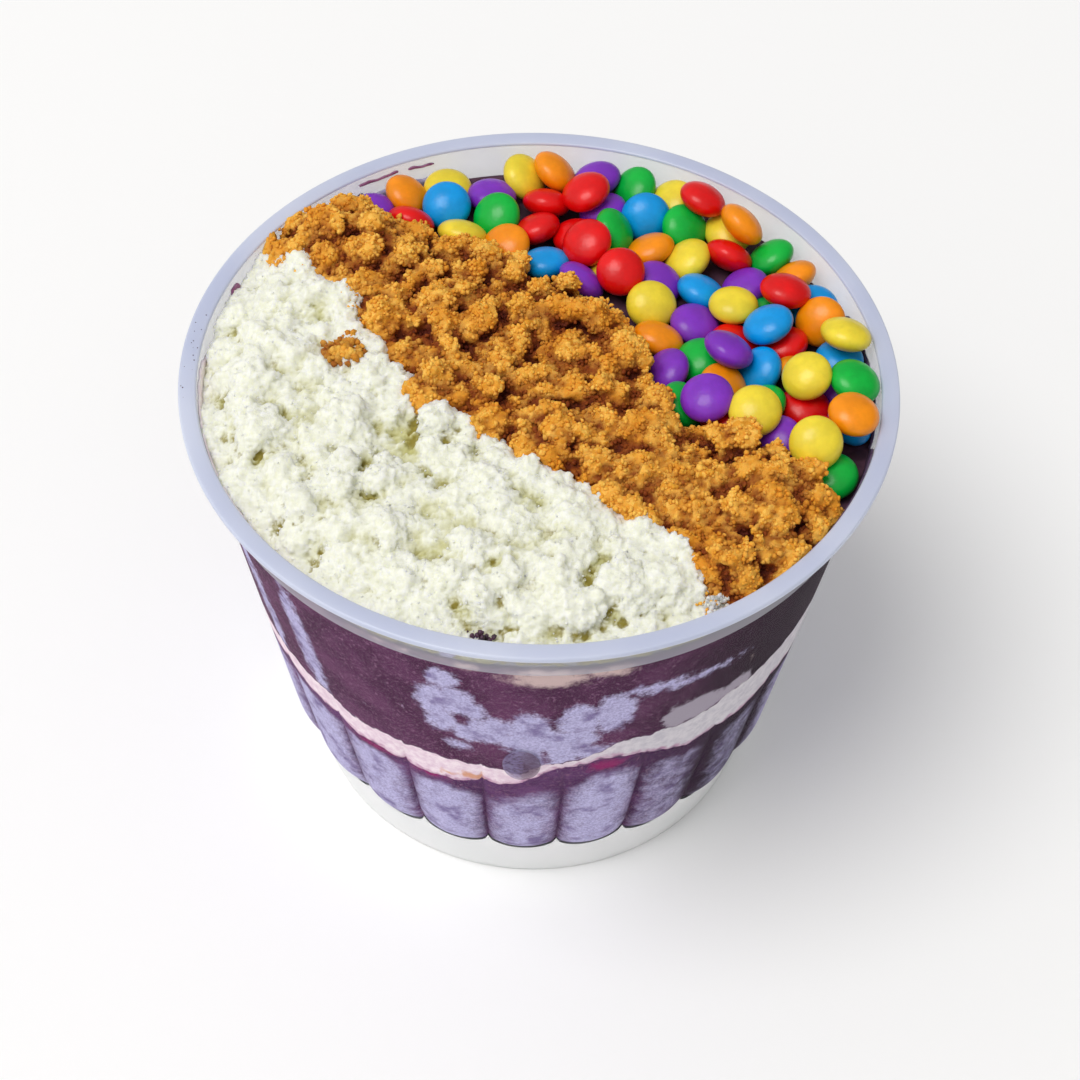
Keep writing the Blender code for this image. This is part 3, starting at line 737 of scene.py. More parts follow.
def make_layers():
    turn = all_round(LAYER_COLUMNS)
    floor = lobe_foot(turn) + 0.05 * MM
    cream_low, cream_high = cream_edge(turn, 1), cream_edge(turn, 2)
    top = np.full(len(turn), ACAI_TOP + 0.3 * MM)

    material = pulp_material("pulp_below", 1.6, LOW_PULP)
    lower, azimuth, height = layer(
        "pulp_below", turn, floor, cream_low, 70, material, "acai_pulp", "acai_lower")
    under = (cream_low[None] - height) / MM
    lobe = np.floor((turn - FIRST_GROOVE) * FLUTES / (2 * math.pi)).astype(int) % FLUTES
    mood = np.random.default_rng(6).uniform(*LOBE_MOOD, FLUTES)[lobe]
    depth, middle, width = FRONT_BAND
    band = LOBE_BAND + depth * np.exp(-((azimuth - middle) / width) ** 2)
    shaded = ease((SHADED_LOBES - np.abs(azimuth - 1.6 * SHADED_LOBES)) / SHADE_FADE)
    frost = LOBE_DEPTH * (flute_arch(turn) ** 1.2 - 0.6) + mood
    frost = frost - SHADE_DEPTH * shaded - BAND_DEPTH * np.exp(-(under / band) ** 2)
    none = patch_field(azimuth, height)
    stain = patch_field(azimuth, height, STAINS)
    # right is how far along the right side a point lies; there the pulp gets painted shade.
    store(lower, frost=frost, right=on_right(azimuth, 0.2, 0.6), grey=none, stain=stain, dust=none)
    weld(lower)

    cream, azimuth, height = layer(
        "cream_band", turn, cream_low, cream_high, 16, cream_material(), "cream", "cream_layer")
    above_low = (height - cream_low[None]) / MM
    below_high = (cream_high[None] - height) / MM
    inside = np.minimum(above_low, below_high)
    caramel = patch_field(azimuth, height, CARAMEL)
    store(cream, right=on_right(azimuth, -0.1, 0.5), low=above_low, inside=inside, caramel=caramel)
    weld(cream)

    material = pulp_material("pulp_above", 0.3, HIGH_PULP)
    upper, azimuth, height = layer(
        "pulp_above", turn, cream_high, top, 80, material, "acai_pulp", "acai_upper")
    frost, grey, stain, dust = (
        patch_field(azimuth, height, patches) for patches in (FROST + hidden_patches(), GREY, (), DUST))
    # right again gives the pulp's painted shade on the right side.
    store(upper, right=on_right(azimuth, 0.2, 0.6), frost=frost, grey=grey, stain=stain, dust=dust)
    weld(upper)


# The round mark moulded in the wall, and thin smears on the wall's inner face

MARK_PLACE = (math.radians(-1.3), 48.6 * MM)
MARK_HALF_SIZE = (3.2 * MM, 5.4 * MM)
MARK_LIFT = 0.07 * MM
MARK_FLAT = 0.82
MARK_SHADE = math.radians(95)
FILM_REACH = 0.15 * MM
FILM_THICKNESS = 0.4 * MM
FILM_ROWS = 8
FILM_TOP = 89.2
FILM_ENDS = 12
# Smears: their two colours, then first and last azimuth in degrees, lowest and highest point
# in millimetres
SMEARS = {
    "smear_pale": (
        ((252, 244, 246), (240, 224, 232)),
        (-96, -20.5, 81.5, 88.7), (21, 27, 84.0, 88.4), (33, 38, 83.5, 88.0), (150, 175, 81.8, 84.5),
    ),
    "smear_frost": (
        ((180, 176, 212), (150, 144, 186)),
        (-15.0, -8.6, 81.5, 88.6), (196, 214, 81.8, 85.5),
    ),
    "smear_pulp": (
        ((92, 74, 102), (66, 46, 76)),
        (26, 33.5, 81.6, 88.4), (37, 78, 81.6, 88.7), (80, 112, 81.8, 86.0), (214, 236, 81.8, 86.5),
    ),
    "smear_berry": (
        ((158, 104, 140), (128, 66, 108)),
        (-159, -154, 88.0, 88.3), (-152, -144, 88.2, 88.5), (-112, -109, 86.4, 88.2),
    ),
}


def make_mark():
    """A low round dimple with a dark edge, where the frost touches the wall. The mark darkens towards its
    right side: painted shade.
    """
    rings, sides = 13, 56
    share = np.linspace(0, 1, rings)[:, None]
    angle = np.arange(sides) * 2 * math.pi / sides
    along = MARK_HALF_SIZE[0] * share * np.sin(angle)
    up = MARK_HALF_SIZE[1] * share * np.cos(angle)
    azimuth = MARK_PLACE[0] + along / cone_radius(MARK_PLACE[1])
    height = MARK_PLACE[1] + up
    lift = MARK_LIFT * (1 - np.clip((share - MARK_FLAT) / (1 - MARK_FLAT), 0, 1) ** 2) - 0.05 * MM
    points = around(wall_radius(height, azimuth) + lift, azimuth, height)
    m = Nodes("mark", Roughness=0.45, Specular_IOR_Level=0.3, Alpha=0.6)
    pale = m.mottle((104, 84, 132), (150, 138, 182), 1500.0, 3.0, 0.35, 0.65)
    # Painted shade: the edge share darkens the mark towards its right side.
    m.colour(m.mix(m.where("edge", m.uneven(0.5, 500.0), 0.3, 0.7), pale, (84, 44, 84)))
    m.bump(0.00006, 900.0)
    piece = mesh_piece("moulded_mark", points, ring_faces(rings, sides), [m.material], "acai_pulp")
    store(piece, edge=0.5 + 0.62 * share * np.cos(angle - MARK_SHADE))
    weld(piece)


def smear_points(first, last, low, high, rng):
    """A thin strip on the wall, front and back, with round ends and a wavy edge."""
    columns = max(8, int(abs(last - first) * 2))
    share = np.linspace(0, 1, columns)
    turn = np.radians(first + (last - first) * share)
    end = np.sqrt(np.clip(FILM_ENDS * np.minimum(share, 1 - share) + 0.02, 0, 1))
    wave = sum(
        rng.uniform(0.2, 0.5) * np.sin(rng.uniform(20, 160) * turn + rng.uniform(0, 6))
        for _ in range(4))
    narrow = 0.5 * (high - low) * (1 - end)
    bottom = low + narrow + 0.12 * wave
    top = np.minimum(high - narrow + 0.25 * wave, FILM_TOP)
    rows = np.concatenate([np.linspace(0, 1, FILM_ROWS), np.linspace(1, 0, FILM_ROWS)])[:, None]
    depth = np.repeat([0.0, FILM_THICKNESS], FILM_ROWS)[:, None]
    height = (bottom + (top - bottom) * rows) * MM
    return around(cone_radius(height) - WALL + FILM_REACH - depth, turn, height)


def closed_strip(grid):
    """Points and faces of a strip, closed round it and at both ends."""
    rows, columns = grid.shape[:2]
    index = np.arange(rows * columns).reshape(rows, columns)
    near, far = index[:FILM_ROWS], index[:FILM_ROWS - 1:-1]
    caps = [
        np.stack([near[:-1, end], near[1:, end], far[1:, end], far[:-1, end]], axis=-1)
        for end in (0, -1)]
    faces = np.concatenate([grid_faces(rows + 1, columns), *caps])
    return np.concatenate([grid, grid[:1]]).reshape(-1, 3), faces


def make_smears():
    rng = np.random.default_rng(9)
    for name, (tones, *strips) in SMEARS.items():
        points, faces = joined([closed_strip(smear_points(*strip, rng)) for strip in strips])
        m = Nodes(name, Roughness=0.6, Specular_IOR_Level=0.25)
        m.colour(m.mottle(*tones, 420.0, 4.0, 0.38, 0.66, 0.6))
        m.bump(0.0001, 700.0)
        slot = "cream" if name == "smear_pale" else "acai_pulp"
        weld(mesh_piece(name, points, faces, [m.material], slot))


# The heaps of powder and crumble, which reach just into the wall

REACH = 0.1 * MM
HEAP_CUT = BED + 0.4 * MM
CAVITY_CELL = 0.6 * MM
HOLLOW_REACH = 2.4 * MM
BROAD_REACH = 5.4 * MM
CLUMP_SQUASH = 0.65
# Where one topping lies on the other: along and across the stripes, and how far it spreads
CRUMBLE_SPILL = (-27.0, -19.0, 2.4)
POWDER_SPILL = (51.5, -19.5, 1.6)


def closed_heap(plan, height):
    """Points and faces of a heap over a grid of plan points, flat below."""
    rows, columns = height.shape

    def flare(level):
        widen = (cone_radius(level) - WALL + REACH) / PLAN_RADIUS
        return np.concatenate([plan * widen[..., None], level[..., None]], axis=-1).reshape(-1, 3)

    top, bottom = flare(height), flare(np.full(height.shape, BED))
    index = np.arange(rows * columns).reshape(rows, columns)
    quads = grid_faces(rows, columns)
    below = quads[:, ::-1] + len(top)
    border = np.concatenate([index[0, :-1], index[:-1, -1], index[-1, :0:-1], index[:0:-1, 0]])
    after = np.roll(border, -1)
    wall = np.stack([after, border, border + len(top), after + len(top)], axis=-1)
    return np.concatenate([top, bottom]), np.concatenate([quads, below, wall])


def ball(make, **settings):
    """Points and triangles of a unit ball."""
    shape = bmesh.new()
    make(shape, radius=1.0, **settings)
    bmesh.ops.triangulate(shape, faces=shape.faces)
    shape.verts.index_update()
    points = np.array([v.co for v in shape.verts])
    faces = np.array([[v.index for v in f.verts] for f in shape.faces])
    shape.free()
    return points, faces


def random_turns(rng, count):
    """Random rotations as matrices."""
    q = rng.normal(size=(count, 4))
    w, x, y, z = (q / np.linalg.norm(q, axis=1, keepdims=True)).T
    return np.stack([
        np.stack([1 - 2 * (y * y + z * z), 2 * (x * y - z * w), 2 * (x * z + y * w)], axis=-1),
        np.stack([2 * (x * y + z * w), 1 - 2 * (x * x + z * z), 2 * (y * z - x * w)], axis=-1),
        np.stack([2 * (x * z - y * w), 2 * (y * z + x * w), 1 - 2 * (x * x + y * y)], axis=-1),
    ], axis=1)


def pebbles(rng, centres, sizes, detail, squash, bumpiness):
    """Many uneven balls as one set of points and triangles."""
    unit, faces = ball(bmesh.ops.create_icosphere, subdivisions=detail)
    count = len(centres)
    shape = unit[None] * (1 + bumpiness * rng.uniform(-1, 1, (count, len(unit), 1)))
    shape = shape * rng.uniform(squash, 1.0, (count, 1, 3))
    shape = np.einsum("nij,nkj->nki", random_turns(rng, count), shape)
    points = centres[:, None] + shape * sizes[:, None, None]
    index = faces[None] + (np.arange(count) * len(unit))[:, None, None]
    return points.reshape(-1, 3), index.reshape(-1, 3)


def clumps_on(rng, plan, height, kinds, bumpiness):
    """Lumps in several sizes strewn over a heap: how many, from, to, and how far sunk."""
    parts = []
    for count, low, high, sunk in kinds:
        pick = rng.integers(0, height.size, count)
        size = rng.uniform(low, high, count) * MM
        z = height.ravel()[pick] - size * rng.uniform(*sunk, count)
        flat = plan.reshape(-1, 2)[pick]
        inside = np.hypot(*flat.T) < PLAN_RADIUS - 0.8 * size
        centres = np.column_stack([flat, z])[inside]
        parts.append(pebbles(rng, centres, size[inside], 2, CLUMP_SQUASH, bumpiness))
    return joined(parts)


def remeshed(points, quads, extra_points, extra_faces, voxel, softening):
    """The union of a heap and what lies on it, as one even mesh."""
    mesh = bpy.data.meshes.new("rough")
    faces = [tuple(f) for f in quads.tolist()]
    faces += [tuple(f) for f in (extra_faces + len(points)).tolist()]
    mesh.from_pydata(np.concatenate([points, extra_points]).tolist(), [], faces)
    rough = add_object("rough", mesh)
    remesh = rough.modifiers.new("remesh", "REMESH")
    remesh.mode = "VOXEL"
    remesh.voxel_size = voxel
    soften = rough.modifiers.new("soften", "SMOOTH")
    soften.iterations = softening
    depsgraph = bpy.context.evaluated_depsgraph_get()
    even = bpy.data.meshes.new_from_object(rough.evaluated_get(depsgraph))
    bpy.data.objects.remove(rough)
    return even


def mesh_arrays(mesh):
    """A mesh's points and normals."""
    arrays = []
    for name in ("co", "normal"):
        values = np.empty(len(mesh.vertices) * 3, np.float32)
        mesh.vertices.foreach_get(name, values)
        arrays.append(values.reshape(-1, 3).astype(float))
    return arrays


def cavity(points, reach):
    """How far each point lies below the tops around it, in millimetres."""
    low = points[:, :2].min(axis=0)
    column = ((points[:, :2] - low) / CAVITY_CELL).astype(int)
    size = column.max(axis=0) + 1
    top = np.full(size, BED)
    np.maximum.at(top, (column[:, 0], column[:, 1]), points[:, 2])
    steps = int(reach / CAVITY_CELL)
    padded = np.pad(top, steps, mode="edge")
    around_it = range(2 * steps + 1)
    total = sum(padded[i:i + size[0], j:j + size[1]] for i in around_it for j in around_it)
    mean = total / len(around_it) ** 2
    return (mean[column[:, 0], column[:, 1]] - points[:, 2]) / MM


def displace(points, normals, layers):
    """Points moved along their normals by layers of noise: size and depth in mm, and kind."""
    moved = np.zeros(len(points))
    for size, depth, kind in layers:
        scaled = (points / (size * MM)).tolist()
        if kind == "grain":
            values = [0.45 - noise.voronoi(p)[0][0] for p in scaled]
        else:
            values = [noise.fractal(p, 0.6, 2.0, 4) for p in scaled]
        moved += depth * MM * np.array(values)
    moved_points = points + normals * moved[:, None]
    reach = np.hypot(*moved_points[:, :2].T)
    room = cone_radius(moved_points[:, 2]) - 0.5 * WALL
    moved_points[:, :2] *= np.minimum(1, room / reach)[:, None]
    return moved_points


def cut_flat(mesh, level):
    """Cut a heap off flat, a little above what it lies on."""
    shape = bmesh.new()
    shape.from_mesh(mesh)
    cut = bmesh.ops.bisect_plane(
        shape, geom=[*shape.verts, *shape.edges, *shape.faces], dist=TINY,
        plane_co=(0, 0, level), plane_no=(0, 0, 1), clear_inner=True)
    rim = [e for e in cut["geom_cut"] if isinstance(e, bmesh.types.BMEdge)]
    bmesh.ops.edgeloop_fill(shape, edges=rim)
    shape.to_mesh(mesh)
    shape.free()


def stripe_grid(low, high, rows, columns):
    """Plan points of a stripe: low and high give offsets from along-positions."""
    along = np.linspace(-PLAN_RADIUS, PLAN_RADIUS, columns)
    near, far = low(along), high(along)
    half = np.sqrt(np.clip(PLAN_RADIUS ** 2 - along ** 2, 0, None))
    near, far = np.clip(near, -half, half), np.clip(far, -half, half)
    share = np.linspace(0, 1, rows)[:, None]
    across = near[None] * (1 - share) + far[None] * share
    return from_stripe(np.broadcast_to(along, across.shape), across)


def heap_piece(name, slot, rng, plan, height, look, material):
    """A heap's detailed piece, and the points, normals and hollows of its surface."""
    clumps, bumpiness, voxel, softening, layers = look
    lumps = clumps_on(rng, plan, height, clumps, bumpiness)
    mesh = remeshed(*closed_heap(plan, height), *lumps, voxel, softening)
    moved = displace(*mesh_arrays(mesh), layers)
    mesh.vertices.foreach_set("co", moved.astype(np.float32).ravel())
    cut_flat(mesh, HEAP_CUT)
    mesh.shade_smooth()
    mesh.materials.clear()
    mesh.materials.append(material)
    piece = show(mesh, name, slot)
    place, normals = mesh_arrays(mesh)
    hollow = cavity(place, HOLLOW_REACH)
    # hollow and broad say how deep each point lies below the tops around it; the materials paint shade there.
    store(piece, hollow=hollow, broad=cavity(place, BROAD_REACH))
    return place, normals, hollow


def strewn(name, slot, rng, surface, count, sizes, squash, bumpiness, material):
    """Loose grains that sit on a surface, given as points, normals and hollows."""
    place, normals, hollow = surface
    upper = np.flatnonzero((normals[:, 2] > -0.1) & (place[:, 2] > BED + 2 * MM))
    pick = rng.choice(upper, count)
    size = rng.uniform(*sizes, count) * MM
    centres = place[pick] + normals[pick] * (size * rng.uniform(-0.2, 0.5, count))[:, None]
    room = cone_radius(centres[:, 2]) - WALL - size
    fits = np.hypot(*centres[:, :2].T) < room
    centres, size, depth = centres[fits], size[fits], hollow[pick][fits]
    points, faces = pebbles(rng, centres, size, 1, squash, bumpiness)
    piece = mesh_piece(name, points, faces, [material], slot, smooth=False)
    corners = len(points) // len(centres)
    tint = rng.uniform(0, 1, len(centres))
    # Each grain keeps the hollow of the surface under it, which the crumble's material turns into painted
    # shade.
    store(piece, hollow=np.repeat(depth, corners), tint=np.repeat(tint, corners))


def near_place(surface, along, across, spread, rng):
    """The part of a surface round a place given along and across the stripes, thinning outwards."""
    place, normals, hollow = surface
    middle = from_stripe(along * MM, across * MM)
    away = np.linalg.norm(place[:, :2] - middle, axis=1) / (spread * MM)
    kept = away < rng.uniform(0.2, 1.6, len(place))
    return place[kept], normals[kept], hollow[kept]


# The milk powder and the peanut crumble

# A heap's clumps (how many, from and to what size in mm, how far sunk), then how bumpy they
# are, the remesh's cell and its softening, then layers of noise (size and depth in mm, kind)
POWDER_LOOK = (
    ((90, 3.4, 6.0, (0.45, 0.8)), (220, 1.8, 3.6, (0.5, 0.85)), (1000, 0.8, 1.6, (0.6, 0.95))),
    0.12, 0.4 * MM, 9,
    ((4.0, 0.9, "soft"), (1.2, 0.34, "soft"), (0.6, 0.12, "soft")),
)
CRUMBLE_LOOK = (
    ((120, 2.6, 4.2, (-0.2, 0.5)), (420, 1.3, 2.6, (-0.6, 0.4)), (1500, 0.6, 1.2, (-0.8, 0.4))),
    0.24, 0.45 * MM, 0,
    ((2.0, 0.45, "soft"), (1.1, 0.6, "grain")),
)
CRUMBLE_SUNK = 2.6 * MM
# Loose grains: how many, from and to what size in mm, squash and bumpiness
POWDER_GRAINS = (700, (0.14, 0.3), 0.6, 0.2)
SPILT_POWDER = (260, (0.25, 0.7), 0.6, 0.2)
CRUMBLE_GRAINS = (9000, (0.28, 0.66), 0.5, 0.3)
SPILT_CRUMBLE = (420, (0.3, 0.85), 0.5, 0.3)


def powder_material(name, loose=True):
    m = Nodes(
        name, Roughness=0.95, Specular_IOR_Level=0.1, Subsurface_Weight=0.6, Subsurface_Scale=0.0016,
        Subsurface_Radius=(1.0, 1.0, 0.6))
    colour = m.mottle((234, 235, 219), (244, 245, 233), 700.0, 3.0, 0.35, 0.65)
    if not loose:
        # Painted shade: the powder turns pale olive in its broad hollows and darker olive in its small ones.
        colour = m.mix(m.where("broad", m.uneven(5.0, 190.0), 0.0, 2.6), colour, (196, 193, 134))
        colour = m.mix(m.where("hollow", m.uneven(4.0, 420.0), 0.9, 2.2), colour, (150, 138, 66))
        m.bump(0.00022, 1900.0, 4.0, 0.7)
    m.colour(colour)
    return m.material


def crumble_material(name, loose=True):
    m = Nodes(
        name, Roughness=0.75, Specular_IOR_Level=0.3, Subsurface_Weight=0.2, Subsurface_Scale=0.0008,
        Subsurface_Radius=(1.0, 0.5, 0.2))
    tint = m.attribute("tint") if loose else m.cell_tints(1000.0)
    colour = m.mix(tint, (226, 154, 42), (250, 194, 88))
    colour = m.mottle(colour, (222, 146, 36), 150.0, 3.0, 0.45, 0.7)
    # Painted shade: the crumble turns brown in its hollows and darkest brown in the deepest ones.
    spotty = m.uneven(2.4, 480.0)
    colour = m.mix(m.where("hollow", spotty, -0.7, 1.2), colour, (138, 64, 8))
    m.colour(m.mix(m.where("hollow", spotty, 0.8, 2.2), colour, (84, 22, 1)))
    if not loose:
        m.bump(0.0003, 1500.0, 4.0, 0.7)
    return m.material


def make_powder():
    plan = stripe_grid(
        lambda along: np.full(len(along), -PLAN_RADIUS),
        lambda along: edge_offset(POWDER_EDGE, along) + 1.0 * MM, 110, 240)
    rng = np.random.default_rng(3)
    surface = heap_piece(
        "powder_heap", "milk_powder", rng, plan, powder_height(plan), POWDER_LOOK,
        powder_material("powder", loose=False))
    strewn("powder_grains", "milk_powder", rng, surface, *POWDER_GRAINS, powder_material("powder_loose"))
    spill = near_place(surface, *CRUMBLE_SPILL, rng)
    strewn("crumble_spill", "peanut_crumble", rng, spill, *SPILT_CRUMBLE, crumble_material("crumble_spilt"))


def make_crumble():
    plan = stripe_grid(
        lambda along: edge_offset(POWDER_EDGE, along) + 0.2 * MM,
        lambda along: edge_offset(CANDY_EDGE, along) - 0.2 * MM, 90, 240)
    rng = np.random.default_rng(5)
    surface = heap_piece(
        "crumble_heap", "peanut_crumble", rng, plan, crumble_height(plan) - CRUMBLE_SUNK, CRUMBLE_LOOK,
        crumble_material("crumble", loose=False))
    strewn(
        "crumble_grains", "peanut_crumble", rng, surface, *CRUMBLE_GRAINS, crumble_material("crumble_loose"))
    spill = near_place(surface, *POWDER_SPILL, rng)
    strewn("powder_spill", "milk_powder", rng, spill, *SPILT_POWDER, powder_material("powder_spilt"))


# The chocolate buttons: for each colour, what is seen of it, and its share of the heap

SHELLS = {
    "red": ((232, 8, 10), 15),
    "purple": ((132, 50, 196), 14),
    "yellow": ((244, 220, 58), 13),
    "green": ((0, 184, 62), 11),
    "orange": ((255, 150, 8), 11),
    "blue": ((0, 156, 234), 9),
}
SHELL_SEGMENTS = 36
SHELL_RINGS = 18
NEAR_BUTTONS = 2.5 * CANDY_RADIUS
SAME_COLOUR = 0.08
LEAST_WEIGHT = 0.02
TUCK_TRIES = 24000
TUCK_CLOSENESS = 0.75
TUCK_TILT = 0.9
TUCK_WALL_ROOM = 0.93 * CANDY_RADIUS
TUCK_EDGE_ROOM = 0.95 * CANDY_RADIUS
TUCK_LIFT = (-0.8, 3.4)


def shell_material(name, colour):
    m = Nodes(
        name, Roughness=0.3, Specular_IOR_Level=0.38, Subsurface_Weight=0.06, Subsurface_Scale=0.0012)
    dull = tuple(int(c * 0.92) for c in colour)
    m.colour(m.mottle(dull, colour, 260.0, 3.0, 0.35, 0.7))
    m.bump(0.00012, 420.0, 2.0)
    return m.material


def shell_kinds(centres, rng):
    """A colour for each button, by the shares and mostly unlike its neighbours'."""
    shares = np.array([share for colour, share in SHELLS.values()], float)
    left = shares / shares.sum() * len(centres)
    kinds = np.full(len(centres), -1)
    for k in rng.permutation(len(centres)):
        near = np.linalg.norm(centres - centres[k], axis=1) < NEAR_BUTTONS
        weight = np.clip(left, LEAST_WEIGHT, None)
        weight[np.unique(kinds[near & (kinds >= 0)])] *= SAME_COLOUR
        kinds[k] = rng.choice(len(shares), p=weight / weight.sum())
        left[kinds[k]] -= 1
    return kinds


def tuck_buttons(centres, axes, rng):
    """More buttons in the gaps under the others, where they cross nothing."""
    for _ in range(TUCK_TRIES):
        x, y = rng.uniform(-PLAN_RADIUS, PLAN_RADIUS, 2)
        tilt, turn = rng.uniform(0, TUCK_TILT), rng.uniform(0, 2 * math.pi)
        axis = np.array([math.sin(tilt) * math.cos(turn), math.sin(tilt) * math.sin(turn), math.cos(tilt)])
        reach = reach_along(axis[None], np.array([[0, 0, 1.0]]))[0]
        level = core_height(np.array([x, y])) + reach + rng.uniform(*TUCK_LIFT) * MM
        if math.hypot(x, y) > cone_radius(level) - WALL - CANDY_GAP - TUCK_WALL_ROOM:
            continue
        if edge_way(x, y)[0] < TUCK_EDGE_ROOM:
            continue
        place = np.array([x, y, level])
        apart = centres - place
        near = np.linalg.norm(apart, axis=1) < 2 * CANDY_RADIUS
        if near.any():
            shape = button_shapes(np.vstack([axes[near], axis]))
            pull = np.linalg.solve(shape[:-1] + shape[-1], apart[near][..., None])[..., 0]
            if (np.einsum("ni,ni->n", apart[near], pull) / 2 < TUCK_CLOSENESS).any():
                continue
        centres, axes = np.vstack([centres, place]), np.vstack([axes, axis])
    return centres, axes


def make_candies():
    centres, axes = settle_candies()
    rng = np.random.default_rng(8)
    centres, axes = tuck_buttons(centres, axes, rng)
    kinds = shell_kinds(centres, rng)
    unit, faces = ball(bmesh.ops.create_uvsphere, u_segments=SHELL_SEGMENTS, v_segments=SHELL_RINGS)
    spin = rng.uniform(0, 2 * math.pi, len(centres))
    grow = rng.uniform(0.96, 1.03, (len(centres), 3))
    lens = np.array([CANDY_RADIUS, CANDY_RADIUS, CANDY_HALF])
    for kind, (name, (colour, share)) in enumerate(SHELLS.items()):
        parts = []
        for k in np.flatnonzero(kinds == kind):
            side = np.cross(axes[k], (0.3, 0.9, 0.1))
            side /= np.linalg.norm(side)
            other = np.cross(axes[k], side)
            c, s = math.cos(spin[k]), math.sin(spin[k])
            lens_axes = np.stack([c * side + s * other, -s * side + c * other, axes[k]])
            parts.append((centres[k] + (unit * lens * grow[k]) @ lens_axes, faces))
        material = shell_material(f"shell_{name}", colour)
        node = "candies" if kind == 0 else None
        mesh_piece(f"buttons_{name}", *joined(parts), [material], "sugar_shell", node)
    make_button_bed()


def make_button_bed():
    """What lies under the buttons: the dark pulp, seen only between them."""
    plan = stripe_grid(
        lambda along: edge_offset(CANDY_EDGE, along) - 0.5 * MM,
        lambda along: np.full(len(along), PLAN_RADIUS), 24, 90)
    m = Nodes("button_bed", Roughness=0.7)
    m.colour(m.mottle((52, 26, 44), (84, 50, 70), 300.0, 3.0, 0.4, 0.6))
    points, quads = closed_heap(plan, core_height(plan) - 0.3 * MM)
    mesh_piece("button_bed", points, quads, [m.material], "acai_pulp")


# Crumbs of frozen pulp at the rim: azimuth in degrees, radius and height in millimetres,
# how many, and how far they spread
PULP_CRUMBS = (
    (-8.8, 54.6, 87.2, 18, 1.0), (-7.0, 54.8, 87.4, 8, 0.7), (-21.5, 55.0, 87.4, 6, 0.7),
    (-64, 54.6, 87.4, 8, 1.2), (-122, 55.0, 88.0, 6, 1.2),
)
RIM_SPECKS = ((-92, 58.4, 7), (-97, 58.2, 5), (-85, 58.6, 3))


def make_pulp_crumbs():
    rng = np.random.default_rng(12)
    centres, sizes = [], []
    for degrees, radius, level, count, spread in PULP_CRUMBS:
        turn = math.radians(degrees)
        middle = around(radius * MM, turn, level * MM)
        along = np.array([math.cos(turn), math.sin(turn), 0.0])
        shift = rng.normal(size=(count, 1)) * along * spread + rng.normal(size=(count, 3)) * (0.3, 0.3, 0.35)
        centres.append(middle + shift * MM)
        sizes.append(rng.uniform(0.3, 0.75, count) * MM)
    for degrees, radius, count in RIM_SPECKS:
        turn = np.radians(degrees + rng.normal(size=count) * 2.0)
        out = (radius + rng.uniform(-0.9, 0.9, count)) * MM
        centres.append(around(out, turn, TUB_HEIGHT))
        sizes.append(rng.uniform(0.08, 0.18, count) * MM)
    m = Nodes("pulp_crumbs", Roughness=0.5)
    m.colour(m.mottle((44, 22, 40), (78, 44, 68), 900.0, 2.0, 0.4, 0.6))
    points, faces = pebbles(rng, np.concatenate(centres), np.concatenate(sizes), 1, 0.5, 0.25)
    mesh_piece("pulp_crumbs", points, faces, [m.material], "acai_pulp", smooth=False)


# Floor, light and camera

ROOM_BRIGHT_SIDE = (-0.7, -0.5, 0.5)
ROOM_LIGHT = (0.08, 0.82)
KEY_PLACE = (-0.92, -0.66, 2.6)
KEY_AIM = (0, 0, 0.06)
KEY_SIZE = 1.7
KEY_POWER = 43.0
KEY_COLOUR = (1.0, 0.985, 0.96)
FLOOR_REACH = 3.0
FLOOR_DROP = 0.0002


def make_floor():
    mesh = bpy.data.meshes.new("floor")
    corners = [(x * FLOOR_REACH, y * FLOOR_REACH, 0) for x, y in ((-1, -1), (1, -1), (1, 1), (-1, 1))]
    mesh.from_pydata(corners, [], [(0, 1, 2, 3)])
    m = Nodes("floor", Roughness=0.9, Specular_IOR_Level=0.0, Base_Color=(0.95, 0.95, 0.95, 1.0))
    mesh.materials.append(m.material)
    floor = add_object("floor", mesh)
    floor.location.z = -FLOOR_DROP


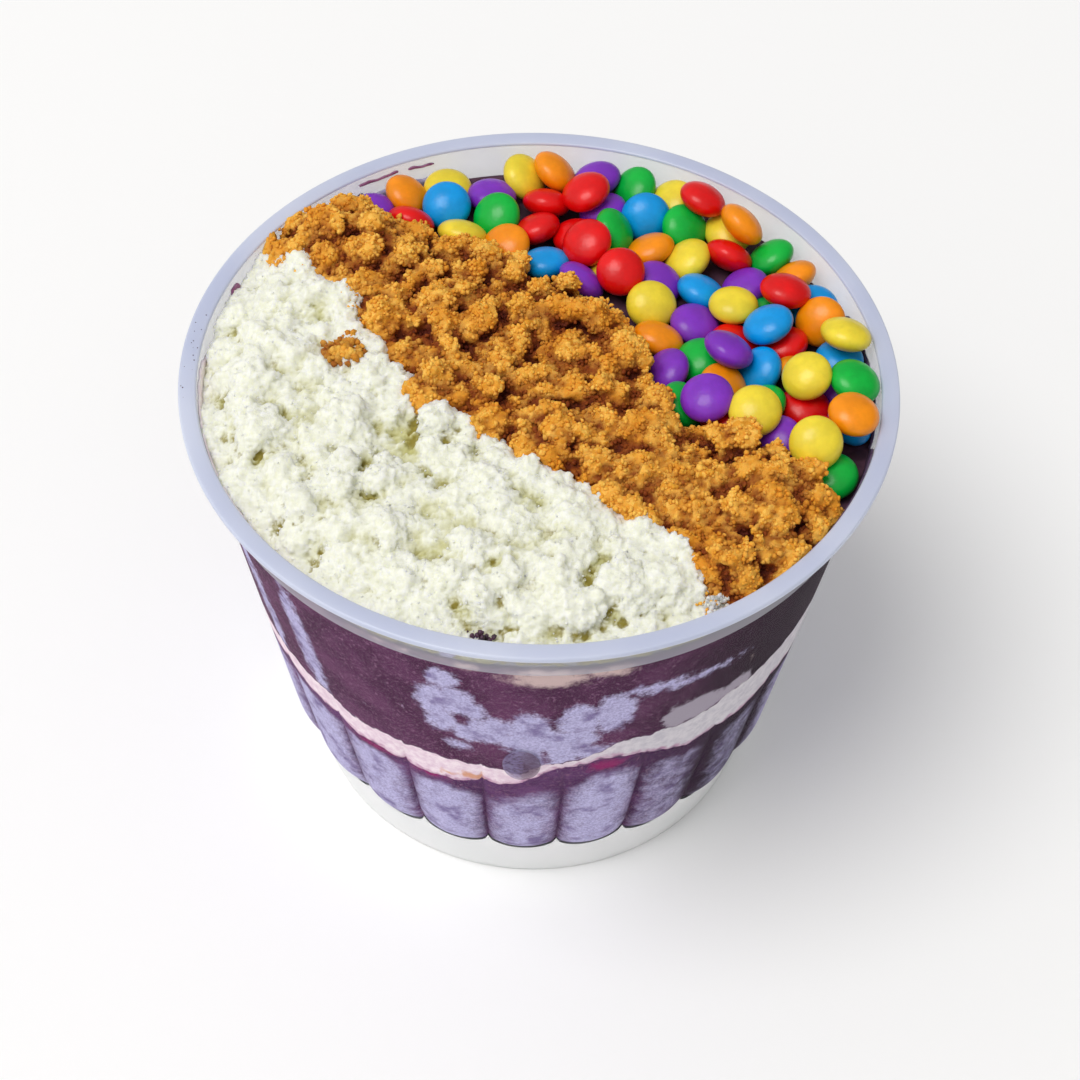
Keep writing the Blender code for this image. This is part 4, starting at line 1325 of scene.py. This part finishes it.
def make_room():
    """A room that is brighter at the front left."""
    world = bpy.data.worlds.new("studio")
    world.use_nodes = True
    tree = world.node_tree
    place = tree.nodes.new("ShaderNodeTexCoord")
    side = tree.nodes.new("ShaderNodeVectorMath")
    side.operation = "DOT_PRODUCT"
    side.inputs[1].default_value = ROOM_BRIGHT_SIDE
    bright = tree.nodes.new("ShaderNodeMapRange")
    for socket, value in zip(("From Min", "From Max", "To Min", "To Max"), (-1.0, 1.0, *ROOM_LIGHT)):
        bright.inputs[socket].default_value = value
    tree.links.new(place.outputs["Generated"], side.inputs[0])
    tree.links.new(side.outputs["Value"], bright.inputs["Value"])
    tree.links.new(bright.outputs["Result"], tree.nodes["Background"].inputs["Strength"])
    tree.nodes["Background"].inputs["Color"].default_value = (1.0, 1.0, 1.0, 1.0)
    bpy.context.scene.world = world


def make_key():
    """A large soft light from the front left."""
    data = bpy.data.lights.new("key", "AREA")
    data.shape = "DISK"
    data.size = KEY_SIZE
    data.energy = KEY_POWER
    data.color = KEY_COLOUR
    light = add_object("key", data)
    light.location = KEY_PLACE
    light.rotation_euler = (Vector(KEY_AIM) - Vector(KEY_PLACE)).to_track_quat("-Z", "Y").to_euler()


def make_camera():
    """The photograph's camera, from its aim, its roll and where the rim lies."""
    lift, roll = CAMERA_ELEVATION, CAMERA_ROLL
    ahead = np.array([0, math.cos(lift), -math.sin(lift)])
    right = np.array([1.0, 0, 0])
    up = np.cross(right, ahead)
    c, s = math.cos(roll), math.sin(roll)
    right, up = c * right - s * up, s * right + c * up
    rim = np.array([0, 0, TUB_HEIGHT])
    place = rim - np.array(RIM_FROM_CAMERA) @ np.stack([right, up, ahead])
    data = bpy.data.cameras.new("camera")
    data.lens = data.sensor_width * FOCAL_PIXELS / FRAME_PIXELS
    camera = add_object("camera", data)
    rotation = Matrix(np.stack([right, up, -ahead], axis=1).tolist()).to_4x4()
    camera.matrix_world = Matrix.Translation(place.tolist()) @ rotation
    bpy.context.scene.camera = camera


make_tub()
make_layers()
make_mark()
make_smears()
make_powder()
make_crumble()
make_candies()
make_pulp_crumbs()
make_floor()
make_room()
make_key()
make_camera()
bpy.context.scene.view_settings.view_transform = "Standard"
